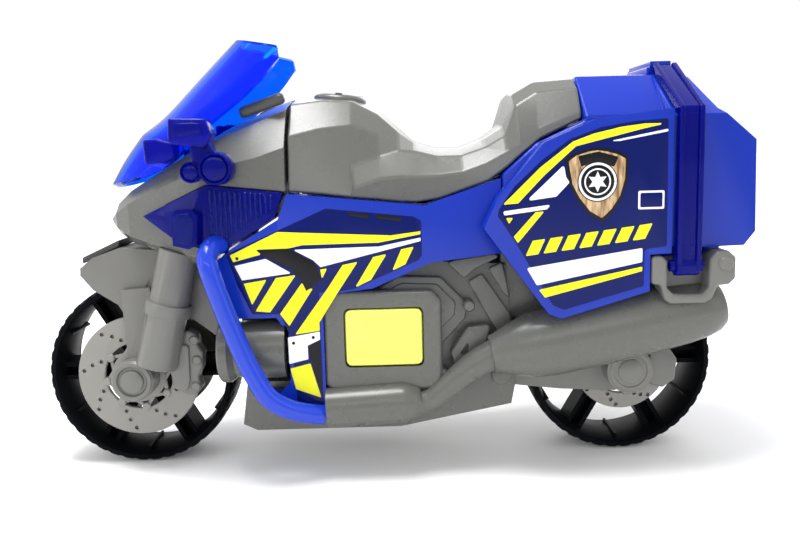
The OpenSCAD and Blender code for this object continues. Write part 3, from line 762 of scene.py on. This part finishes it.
def add_cowl():
    piece = loft("cowl_moulding", COWL, 0)
    cut(piece, *[slab("lens_room", LENS_OUTLINE, hand * 26, hand * 15.6, 0.01, 0)
                 for hand in (-1, 1)])
    dress(bevelled(piece, 0.55, 3, 14), "body_grey", "frame", "front_cowl")


def add_windscreen():
    """The tinted screen: one curved shell with a crisp rim along its sides and a bend at the brow."""
    bm = bmesh.new()
    rows = []
    for row in SCREEN:
        left = [bm.verts.new(p) for p in row]
        rows.append(left[::-1] + [bm.verts.new((x, -y, z)) for x, y, z in row[1:]])
    crease = bm.edges.layers.float.new("crease_edge")
    last = len(rows[0]) - 1
    for a, b in zip(rows, rows[1:]):
        for i in range(last):
            bm.faces.new((a[i], b[i], b[i + 1], a[i + 1]))
    for row, after in zip(rows, rows[1:]):
        for i in (last // 2 - RIM_COLUMN, last // 2 + RIM_COLUMN):
            bm.edges.get((row[i], after[i]))[crease] = RIM_CREASE
    for ends in zip(rows[BROW_ROW], rows[BROW_ROW][1:]):
        bm.edges.get(ends)[crease] = BROW_CREASE
    for edge in bm.edges:
        if edge.is_boundary:
            edge[crease] = EDGE_CREASE
    piece = make_object("windscreen_shell", bm)
    fine = piece.modifiers.new("curve", "SUBSURF")
    fine.levels = fine.render_levels = 3
    thicken(piece, 1.3)
    dress(bevelled(piece, 0.3, 3, 40), "clear_blue", "frame", "windscreen")


def spot_lamp(bm, x, z, r, y0, y1):
    """A lamp can turned about Y, with a rim and a domed face."""
    prof = [(0, y0 + 0.1), (r * 0.5, y0 + 0.18), (r * 0.72, y0 + 0.4), (r * 0.74, y0 + 0.75),
            (r * 0.86, y0 + 0.1), (r * 0.95, y0 + 0.1), (r, y0 + 0.4), (r, y1 - 1.2),
            (r * 0.7, y1), (0, y1)]
    lathe(bm, prof, 48, (x, 0, z))


def add_lamp_pods():
    """The clear blocks that hold two spot lamps beside the screen."""
    face = depths("lamp_pod_left")[0]
    bm = bmesh.new()
    add_slab(bm, [(-40.5, 75.5), (-33.2, 75.3), (-32.2, 72.2), (-33.4, 69.6), (-40.7, 70.6)],
             face + 0.8, -19.4, 0.6, 0.6)
    add_slab(bm, [(-39.6, 74.6), (-34.2, 74.5), (-33.8, 72.4), (-39.7, 71.8)], face + 0.4, -22,
             0.3, 0.4)
    add_slab(bm, [(-37, 70.5), (-33, 70.5), (-30.6, 67), (-33, 63.4), (-36.4, 66)], face + 1.8,
             -19.0, 0.6, 0.8)
    add_slab(bm, [(-47.4, 71.6), (-44.4, 71.8), (-41, 70.8), (-41, 68), (-43.4, 66.8),
                  (-47.2, 66.8)], -18.2, -13.5, 0.6, 0.6)
    spot_lamp(bm, -31.8, 65.6, 3.25, face, -18.6)
    spot_lamp(bm, -36.8, 65.0, 2.1, face + 1.1, -19.0)
    mesh_pair("lamp_pod_moulding", bm, "deep_clear_blue", "lamp_pod", slot="clear_blue")


FLUTES = 13
FLUTE_STEP = 1.02
FIRST_FLUTE = -34.2
INDICATOR = [(-41.4, 56), (-40.6, 56.8), (-38.2, 56.8), (-37.4, 55.8), (-37.7, 51), (-38.8, 50.4),
             (-41.1, 50.9)]


def add_lens():
    """The side lens with its upright flutes and the small indicator in front of them."""
    soft_pair("side_lens", "deep_clear_blue", 0.3)
    bm = bmesh.new()
    half = FLUTE_STEP * 0.3
    # The flutes follow the lens's sloping edges, and stand further out towards its back
    for i in range(FLUTES):
        x = FIRST_FLUTE + FLUTE_STEP * i
        low = 50.4 + max(0, x + 32.4) * 0.62
        high = 61.6 - 0.11 * (x + 35)
        y = -(19.4 + 0.5 * (x + 36) / 18)
        add_slab(bm, [(x - half, low), (x + half, low + half), (x + half, high), (x - half, high)],
                 y - 0.3, y + 0.2, 0.25, 0.1)
    mesh_pair("lens_flutes", bm, "clear_blue", angle=60, slot="deep_clear_blue")
    face = depths("side_lens_left")[0]
    bm = add_slab(bmesh.new(), INDICATOR, face - 0.25, face + 0.5, 0.3, 0.3)
    mesh_pair("indicator_lens", bm, "clear_blue", slot="deep_clear_blue")


def add_grips():
    path = smooth_path([(-28.4, -12.8, 76.5), (-25.8, -12.9, 77.4), (-22.2, -13.1, 78.6),
                        (-19.2, -13.2, 79.6)], 6)
    radii = [0.7] + [1.15] * 2 + [1.22] * (len(path) - 5) + [1.15, 0.75]
    mesh_pair("grip_rod", add_tube(bmesh.new(), path, radii, 24), "dark_grey", "grip", angle=50)


# ---------------- body
# Stations of the tank and seat: x, height of the middle, then height and half width of the lower
# edge, seat crease, band top, tank facet and shoulder
COVER = [
    (-18.5, 79.8, (60.6, 18.4), None, (61.8, 18.3), (71.6, 16.0), (78.2, 10.0)),
    (-12, 80.4, (59.9, 18.4), None, (63.0, 17.7), (73.0, 15.0), (79.0, 9.0)),
    (-5.5, 79.9, (59.0, 18.4), (60.8, 18.4), (65.2, 16.4), (73.8, 13.4), (78.7, 8.2)),
    (0, 77.2, (58.4, 18.2), (62.6, 18.0), (67.0, 15.2), (71.4, 12.6), (75.8, 7.4)),
    (4, 73.4, (57.9, 18.1), (62.9, 17.8), (68.2, 14.0), None, (72.2, 7.6)),
    (7.5, 70.1, (57.7, 18.0), (62.9, 17.6), (68.0, 13.2), None, (69.6, 7.2)),
    (12, 68.8, (58.3, 18.0), (63.0, 17.4), (66.8, 13.2), None, (68.3, 7.2)),
    (17, 68.5, (60.0, 18.0), (63.6, 17.3), (66.8, 13.3), None, (68.1, 7.4)),
    (22, 70.4, (61.6, 18.0), (65.2, 17.2), (68.4, 13.4), None, (69.9, 8.0)),
    (26, 73.0, (64.4, 18.0), (67.4, 17.2), (70.6, 13.8), None, (72.4, 9.0)),
    (28.2, 79.9, (66.4, 17.9), (68.9, 17.2), (76.6, 13.2), None, (79.2, 8.8)),
    (32.5, 82.2, (69.9, 17.9), (71.6, 17.3), (79.2, 13.4), None, (81.6, 9.2)),
    (41, 82.6, (73.8, 17.7), (75.0, 17.4), (79.9, 13.7), None, (82.1, 9.2)),
]
CAP_AT = (-8.6, 0, 78.7)
# Depths of the left engine side: the cover's face and back, and the back of what lies behind it
ENGINE_FACE, ENGINE_BACK, RELIEF_BACK = -19.2, -14.05, -13.6
# The parts of the engine in relief on its side; the gasket stays clear of the button's flange
GASKET = [(-8, 39.2), (-2.6, 38.8), (-0.4, 40.2), (3.1, 42.2), (12.2, 41.8), (17.8, 36.0),
          (17.2, 32.7), (12.4, 27.6), (9.7, 25.2), (9.7, 37.6), (-8, 37.6)]
GASKET_TOP = [(1.2, 39.4), (3.8, 40.8), (11.3, 40.4), (15.2, 36.4), (14.9, 33.6), (12.2, 31),
              (9.7, 31), (9.7, 37.6), (2, 37.6)]
TRIANGLE = [(13.9, 25.8), (17.6, 31.1), (22.6, 31.6), (21.4, 27.2), (15, 21.9)]
RIBS = [
    [(13.6, 44.6), (17.2, 41.2), (19.4, 43.2), (24.6, 45.6), (23.6, 46.4), (15, 45.2)],
    [(17.9, 40.6), (20.9, 42.2), (26.8, 33.4), (27.2, 29.6), (24.6, 28.8), (22.4, 32.2)],
    [(22.2, 43.2), (25.2, 44.6), (26.9, 36.4), (25.2, 38.2)],
]
# Each round boss: x, z, radius and the depth of its face
BOSSES = [(17.9, 35.7, 1.25, -17.6), (11.4, 20.6, 2.3, -18.6), (24.9, 20, 2.2, -15.0)]
FRAME_WEB = [(25, 47.4), (35.6, 47), (37, 34.2), (31, 31.4), (25, 33)]
BEZEL = [(-12.5, 38.8), (-10.8, 39.9), (10.2, 39.5), (12.1, 37.4), (12.1, 20.2), (10.4, 18.5),
         (-11, 18.5), (-12.6, 20.2)]
# The button's flange stands out past its cap by BUTTON_RIM, and slides in a room behind the cover
BUTTON_RIM = 1.2
WINDOW_GAP, ROOM_GAP = 0.35, 0.3
BUTTON_MARK = [[(-1.2, 31.9), (2.2, 30.1), (-1.2, 28.3)], rect(-3.2, 31.4, -2.2, 28.8)]


def add_cover():
    dress(bevelled(loft("tank_seat_moulding", COVER, 1.3), 0.7, 4, 11), "body_grey", "frame",
          "tank_seat_cover")
    bm = lathe(bmesh.new(), [(0, 1.5), (3.1, 1.5), (3.4, 1.85), (4.9, 1.8), (5.5, 1.4), (5.8, 0.8),
                             (5.8, -0.5), (0, -0.5)], 72)
    for k in range(3):
        add_block(bm, (3.6, 1.4, -0.7), (5.2, 2.05, 0.7), Matrix.Rotation(2.1 * k + 0.5, 3, "Y"))
    tilt = Matrix.Rotation(math.radians(6), 3, "Y") @ Matrix.Rotation(math.radians(90), 3, "X")
    for v in bm.verts:
        v.co = tilt @ v.co + Vector(CAP_AT)
    dress(smooth(make_object("tank_cap_moulding", bm), 35), "body_grey", "frame", "tank_cap",
          slot="dark_grey")


def button_outline(grow):
    """The outline of the button's flange, grown by a margin."""
    return rect(BUTTON_LOW.x - grow, BUTTON_LOW.z - grow, BUTTON_HIGH.x + grow,
                BUTTON_HIGH.z + grow)


def engine_cover(side, hand, *cutters):
    """One side's cover: a thick rounded plate with a stepped edge and the cutters taken out."""
    piece = slab("engine_frame_" + side, BEZEL, -hand * ENGINE_FACE, -hand * ENGINE_BACK, 1.1, 1.6,
                 steps=6)
    dress(smooth(cut(piece, *cutters), 35), "body_grey", "frame", "engine_cover_" + side)


def add_engine():
    soft_pair("chassis", "body_grey", 0.5)
    engine_cover("left", -1,
                 slab("window", button_outline(WINDOW_GAP - BUTTON_RIM), -24, -13, 0.01, 1.2),
                 slab("button_room", button_outline(ROOM_GAP), -16.4, -12, 0.01, 0.4))
    engine_cover("right", 1, slab("engine_inset", rect(-8, 24, 8.4, 36), 24, 18.6, 0.01, 1.2))
    bm = add_slab(bmesh.new(), GASKET, -15.7, RELIEF_BACK, 0.5, 1.4)
    add_slab(bm, GASKET_TOP, -16.3, -15, 0.4, 1.4)
    for rib in RIBS:
        add_slab(bm, rib, -15.1, RELIEF_BACK, 0.35, 0.6)
    for x, z, r, y in BOSSES:
        lathe(bm, [(0, y), (r * 0.75, y + 0.05), (r * 0.93, y + 0.3), (r, y + 0.8),
                   (r, RELIEF_BACK), (0, RELIEF_BACK)], 36, (x, 0, z))
    mesh_pair("engine_relief", bm, "body_grey")
    mesh_pair("frame_web", add_slab(bmesh.new(), FRAME_WEB, -13.0, -11.6, 0.3, 0.8), "body_grey")
    plate = slab("engine_bracket_left", TRIANGLE, -16.6, RELIEF_BACK, 0.4, 0.8)
    cut(plate, slab("slot", [(15.7, 25.3), (17.8, 28.4), (17.6, 25.2)], -20, -15.4, 0.01, 0.3))
    pair(smooth(plate, 35), "body_grey")


def add_button():
    """The yellow sound button, with a slightly raised plain play mark in its middle."""
    face = BUTTON_LOW.y
    bm = add_slab(bmesh.new(), button_outline(-BUTTON_RIM), face, -15.2, 0.5, 1.2, steps=6)
    add_slab(bm, button_outline(0), -16.1, -15.15, 0.2, 0.8)
    lathe(bm, [(0, -15.3), (1.9, -15.3), (1.9, -13.3), (1.7, -13.2), (0, -13.2)], 32, (0, 0, 30))
    for mark in BUTTON_MARK:
        add_slab(bm, mark, face - 0.04, face + 0.4, 0.15, 0.4)
    dress(smooth(make_object("sound_button_cap", bm), 35), "button_yellow", "button",
          "sound_button")


# Turns a lathed shape's axis from Y to X
LIE_ALONG_X = Matrix.Rotation(math.radians(-90), 3, "Z")


def add_horn():
    """The round horn in its pocket: a dished flange that faces forwards and a barrel behind it."""
    low, high = node_box("horn_left")
    r = (high.z - low.z) / 2
    prof = [(0, 2.2), (r * 0.5, 2.0), (r * 0.62, 1.2), (r * 0.86, 0.15), (r * 0.95, 0.1), (r, 0.5),
            (r, 2.2), (r * 0.9, 3.0), (r * 0.84, 3.4), (r * 0.86, 4.4), (r * 0.9, 6), (r * 0.9, 14),
            (0, 14)]
    at = (low.x, (low.y + high.y) / 2, (low.z + high.z) / 2)
    mesh_pair("horn_moulding", lathe(bmesh.new(), prof, 72, at, LIE_ALONG_X), "body_grey", "horn")


def add_body():
    soft_pair("fairing", "shell_blue", 0.95, 4)
    soft_pair("swingarm", "fork_grey", 0.5)
    soft_pair("rear_caliper", "fork_grey", 0.4)
    hub_cap("rear_hub_cap", REAR_AXLE, depths("swingarm_left")[0] - 0.3, 4.9)
    dress(soft_copy("battery_cover", 0.2), "body_grey", "frame", "battery_cover")


BAR = [(-32.6, -17.6, 50.2), (-33.9, -20.2, 50.1), (-34.7, -22.9, 48.2), (-34.0, -24, 45.2),
       (-31.8, -24, 38), (-28.4, -24, 28.5), (-26.2, -24, 23.6), (-23.6, -23.9, 19.2),
       (-19.8, -22.9, 16.4), (-15.6, -21.4, 14.8), (-13.0, -20.4, 14.2)]
BAR_R = 2.05
# The pipe's points, as x, z and radius
PIPE = [(-12.3, 15.2, 4.2), (-6, 15.5, 4.3), (0, 15.8, 4.3), (4, 16, 4.2), (6.2, 16, 3.5),
        (8, 16, 2.2), (10.6, 17.2, 2.25), (14.4, 20.2, 2.6), (18.8, 23.6, 2.9), (23.4, 26.0, 3.2)]
SILENCER = [(0, 3.8), (3.7, 3.8), (4.0, 4.1), (4.2, 5), (5.4, 8), (6.7, 12), (7.15, 17), (7.2, 24),
            (7.2, 32), (7.0, 38), (6.6, 44), (6.1, 48), (5.4, 50.6), (4.4, 52), (3.4, 52.0),
            (3.2, 51.6), (3.1, 49.6), (0, 49.6)]
SILENCER_RISE = math.radians(11.2)


def add_crash_bars():
    points = smooth_path(BAR, 8)
    bm = add_tube(bmesh.new(), points, [BAR_R] * len(points), 24)
    mesh_pair("crash_bar_tube", bm, "bar_blue", "crash_bar", angle=60)


def add_exhausts():
    y = node_middle("exhaust_left").y - 0.2
    path = smooth_path([(x, y, z) for x, z, r in PIPE], 6)
    bm = add_tube(bmesh.new(), path, spread([r for x, z, r in PIPE], 6), 28)
    turn = Matrix.Rotation(-SILENCER_RISE, 3, "Y") @ LIE_ALONG_X
    lathe(bm, SILENCER, 72, (18.5, y, 25), turn)
    mesh_pair("exhaust_moulding", bm, "body_grey", "exhaust", angle=40)


# ---------------- luggage
BRACKET = [(53.3, 46.3), (55.4, 46.3), (56.6, 45.2), (56.6, 39.8), (57.9, 38.5), (63.5, 38.5),
           (64.8, 39.8), (64.8, 45.4), (66.4, 46.9), (68.6, 47.0), (70.1, 45.6), (70.1, 41.4),
           (68.9, 40.2), (66.6, 40.0), (65.6, 37.4), (64.2, 36.5), (57.2, 36.5), (56, 37.4),
           (55.2, 40.4), (53.3, 40.6)]
BRACKET_PIN = (68, 0, 44.4)
STRAP_X0, STRAP_X1 = 57.9, 62.7
STRAP_PIN = ((STRAP_X0 + STRAP_X1) / 2, -24.6, 44.2)


def add_bracket():
    face, back = depths("hinge_bracket_left")
    bm = add_slab(bmesh.new(), BRACKET, face + 0.3, back, 0.7, 0.9, steps=5)
    add_slab(bm, [(55.6, 45.6), (65.6, 45.6), (65.2, 37.4), (56.4, 37.4)], back - 0.7, back - 0.05,
             0.2, 0.6)
    lathe(bm, [(0, face), (1.3, face), (1.5, face + 0.2), (1.5, face + 1), (0, face + 1)], 32,
          BRACKET_PIN)
    mesh_pair("hinge_bracket_moulding", bm, "fork_grey", "hinge_bracket")


def strap_profile(d):
    """The strap's YZ outline, shrunk by d on its outer side."""
    face = depths("strap_left")[0]
    outer, inner = face + d, face + 2.1
    return [(outer, 44.2), (inner, 44.2), (inner, 73.9), (-8.6, 83), (-8.6, 84.6 - d),
            (-9.6, 84.9 - d), (outer, 75.2)]


def add_strap():
    """A channel-shaped strap with a round eye and pins at its lower end."""
    bm = bmesh.new()
    for x0, x1, shrink, edge in ((STRAP_X0, STRAP_X0 + 1.0, 0, 0.25),
                                 (STRAP_X1 - 1.0, STRAP_X1, 0, 0.25),
                                 (STRAP_X0 + 0.4, STRAP_X1 - 0.4, 0.55, 0.2)):
        add_slab(bm, strap_profile(shrink), x0, x1, edge, 0.5, axis="x", both=True)
    pin = both_ways([(2.0, 2.1), (1.9, 2.3), (1.15, 2.4), (1.15, 3.3), (0, 3.3)])
    lathe(bm, pin, 36, STRAP_PIN, LIE_ALONG_X)
    mesh_pair("strap_moulding", bm, "deep_clear_blue", "strap",
              bodies=("strap_left", "strap_right"))


def add_luggage():
    dress(soft_copy("luggage_core", 0.6), "shell_blue", "frame", "luggage_core")
    soft_pair("saddle_panel", "shell_blue", 1.0, 4)
    dress(soft_copy("latch_tab", 0.4), "shell_blue", "frame", "latch_tab")
    dress(soft_copy("rear_case_lid", 0.7, 4), "shell_blue", "case_lid", "rear_case_lid")


# ---------------- stickers
INK_STEP = 0.05


def sticker(name, shapes, plane_y, layer, ink, fillet=0.15):
    """Printed shapes lying on a side panel, each a very thin raised plate."""
    bm = bmesh.new()
    for outline in shapes:
        add_slab(bm, outline, plane_y - INK_STEP * layer, plane_y + 0.02, 0.02, fillet)
    mesh_pair(name, bm, ink, angle=40)


def add_fairing_stickers():
    y = FAIRING_Y
    sticker("fairing_navy", [[(-31.6, 48.2), (-11, 57), (6.6, 54.9), (8.2, 54), (8.2, 47), (7.5, 46),
            (2.5, 43.9), (-6, 40.4), (-9.5, 39.9), (-13, 39.9), (-13, 14.8), (-18.4, 16.8),
            (-19.2, 30.6), (-21.2, 35.6), (-26.8, 35.6), (-29.5, 41.5)]], y, 1, "ink_navy", 0.4)
    sticker("fairing_yellow", [
        [(-30.8, 48), (-21, 52.5), (2, 51.2), (8, 51.9), (8, 51.3), (-0.5, 49.8), (-16, 49.7),
         (-19, 49.1), (-25.5, 49), (-24.5, 48), (-30.2, 46.6)],
        [(-28.3, 42.1), (-23.6, 42.8), (-26.8, 37.6)],
        [(-21.7, 43.1), (-17.6, 43.6), (-23.2, 36), (-26.2, 36.3)],
        [(-21.2, 35.6), (-16.4, 42), (-15.7, 40.5), (-14.2, 40.8), (-19.4, 33)],
        [(-12.6, 44.6), (-11.2, 44.8), (-12.3, 42.6)],
        [(-8, 45.4), (-4.9, 46), (-9, 40), (-13.2, 33.6), (-13.2, 31.9), (-18.3, 31.2), (-11, 41)],
        [(-1.7, 46.9), (1, 47.4), (-2.3, 42.2), (-5.6, 40.7)],
        [(4, 48.3), (6.6, 48.8), (4.8, 45.2), (2.1, 44)],
        [(-19.6, 24), (-15.4, 25), (-13.4, 17.6), (-18.6, 19.6)],
    ], y, 2, "ink_yellow")
    sticker("fairing_white", [
        [(-18, 48.8), (-0.5, 49), (8, 50.6), (8, 49.9), (-12.5, 45.1), (-14, 46.6)],
        [(-30, 45.8), (-23.6, 47.1), (-18.5, 44), (-28.6, 42.8)],
        [(-19.8, 30.6), (-13.2, 31.7), (-13.2, 30), (-15.8, 28.8), (-15.8, 25.9), (-19.8, 25)],
    ], y, 2, "ink_white")
    sticker("fairing_black", [
        [(-25.5, 49), (-19, 49.1), (-13.6, 46), (-12.5, 42.6), (-15.6, 40.2), (-16.4, 42.3),
         (-18.6, 45), (-23.5, 47.4)],
        [(-15.8, 28.7), (-13.2, 29.8), (-13.2, 18.2), (-14.9, 24.4)],
        [(-7, 56.1), (-2.2, 55.7), (-2.6, 54.8), (-6.2, 55.4)],
        [(-1.2, 55.6), (4, 54.9), (4.2, 54), (-0.6, 54.7)],
        *[disc_outline(x, z, 0.33) for x, z in ((-29.4, 47.3), (-18.7, 29.4), (-14.6, 30.5))],
    ], y, 3, "ink_black")


def disc_outline(x, z, r, n=20):
    return [(x + r * math.cos(2 * math.pi * i / n), z + r * math.sin(2 * math.pi * i / n))
            for i in range(n)]


def ring_outline(x, z, r, wall, n=40):
    """A ring drawn as one outline with a hair-wide slit."""
    turns = [0.01 + 6.26 * i / n for i in range(n + 1)]
    outer, inner = ([(x + a * math.cos(t), z + a * math.sin(t)) for t in turns]
                    for a in (r, r - wall))
    return outer + inner[::-1]


def star_outline(x, z, r, points=6):
    """A star whose notches reach half as far out as its points."""
    spots = [(r if i % 2 == 0 else r * 0.5, math.pi * i / points) for i in range(points * 2)]
    return [(x + a * math.sin(t), z + a * math.cos(t)) for a, t in spots]


SHIELD = [(36.1, 65.6), (37.8, 66.8), (40.5, 67.6), (42.4, 67.8), (44.4, 67.5), (46.8, 66.8),
          (48.4, 65.9), (48.3, 61.6), (47.3, 58), (45.5, 55.2), (43.4, 53.2), (40.8, 54.8),
          (38.6, 57.6), (37, 60.6)]
BADGE = (42.4, 61.2)


def shrunk(outline, factor):
    x = sum(p[0] for p in outline) / len(outline)
    z = sum(p[1] for p in outline) / len(outline)
    return [(x + (p[0] - x) * factor, z + (p[1] - z) * factor) for p in outline]


def add_panel_stickers():
    y = PANEL_Y
    sticker("panel_navy", [[(23.2, 56.2), (26.2, 60.6), (31.6, 65.6), (37.2, 69.6), (43, 71.6),
            (49.5, 72.6), (56, 73), (56.2, 48.2), (52.4, 47.8), (51.8, 47.2), (51.8, 40.4),
            (36, 36), (33.8, 37), (26.6, 49.5), (23, 55)]], y, 1, "ink_navy", 0.5)
    sticker("panel_yellow", [
        [(24, 57.2), (31.4, 64.3), (37.6, 69), (41.5, 70.4), (47, 71.6), (51.5, 72.1), (56, 72.1),
         (51.4, 71.2), (45.4, 69.8), (38.2, 68.1), (32, 62.6), (27, 57.4)],
        [(24.6, 54.6), (26, 54.6), (25.2, 53.4)],
        [(30.4, 55.6), (32.1, 55.7), (26.9, 49.6), (26.1, 50.9)],
        [(31, 40.2), (51.4, 44.3), (51.4, 43.4), (32.2, 38.6)],
        *[[(28.4 + 3.5 * i, 47 + 0.42 * i), (30.9 + 3.5 * i, 47.3 + 0.42 * i),
           (32.3 + 3.5 * i, 50.3 + 0.42 * i), (29.8 + 3.5 * i, 50 + 0.42 * i)] for i in range(7)],
    ], y, 2, "ink_yellow")
    sticker("panel_white", [
        [(28.6, 57.8), (35.9, 64.6), (36.3, 62.3), (37, 61.2), (34.4, 58.5)],
        [(44.6, 68.9), (56, 71), (56, 70.5), (46.6, 68.9)],
        [(24, 55.9), (33.4, 57), (32.6, 56.1), (24.3, 55.1)],
        [(28.6, 44.6), (51.4, 48), (51.4, 45.2), (30.6, 41.1)],
        rect(50.4, 59.2, 55.5, 55.6),
    ], y, 2, "ink_white", 0.3)
    sticker("panel_icon", [rect(50.8, 58.8, 55.1, 56)], y, 3, "ink_navy",
            0.3)
    sticker("badge_edge", [SHIELD], y, 3, "ink_black", 0.4)
    sticker("badge_wood", [shrunk(SHIELD, 0.9)], y, 4, "ink_wood", 0.4)
    sticker("badge_banner", [[(38.6, 66.2), (39.2, 64.2), (42.4, 65), (45.6, 64), (46.4, 65.9),
            (42.5, 67)]], y, 5, "ink_black", 0.2)
    sticker("badge_dark", [disc_outline(*BADGE, 3.9, 40)], y, 5, "ink_black", 0)
    sticker("badge_ring", [ring_outline(*BADGE, 3.7, 0.45), ring_outline(*BADGE, 2.6, 0.3),
                           star_outline(*BADGE, 2.0)], y, 6, "ink_white", 0)


# ---------------- the rest
HIDDEN_PARTS = {
    "front_axle": "steel", "rear_axle": "steel", "lid_hinge_pin": "steel", "battery_screw": "steel",
    "case_screws": "steel", "button_cells": "cell_metal", "circuit_board": "board_green",
    "tact_switch": "black_part", "speaker": "black_part", "led_lamp": "led_clear",
}


def dress_cad_parts():
    """CAD parts whose own shape is right get the finish of their slot."""
    for name, mat in HIDDEN_PARTS.items():
        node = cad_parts[name]
        node.data.materials.clear()
        node.data.materials.append(M[mat])


for add in (add_camera, add_lights, add_floor, add_wheels, add_fork, add_fender, add_cowl,
            add_windscreen, add_lamp_pods, add_lens, add_grips, add_cover, add_engine, add_button,
            add_horn, add_body, add_crash_bars, add_exhausts, add_bracket, add_strap, add_luggage,
            add_fairing_stickers, add_panel_stickers, dress_cad_parts):
    add()

bpy.context.scene.view_settings.view_transform = "Standard"
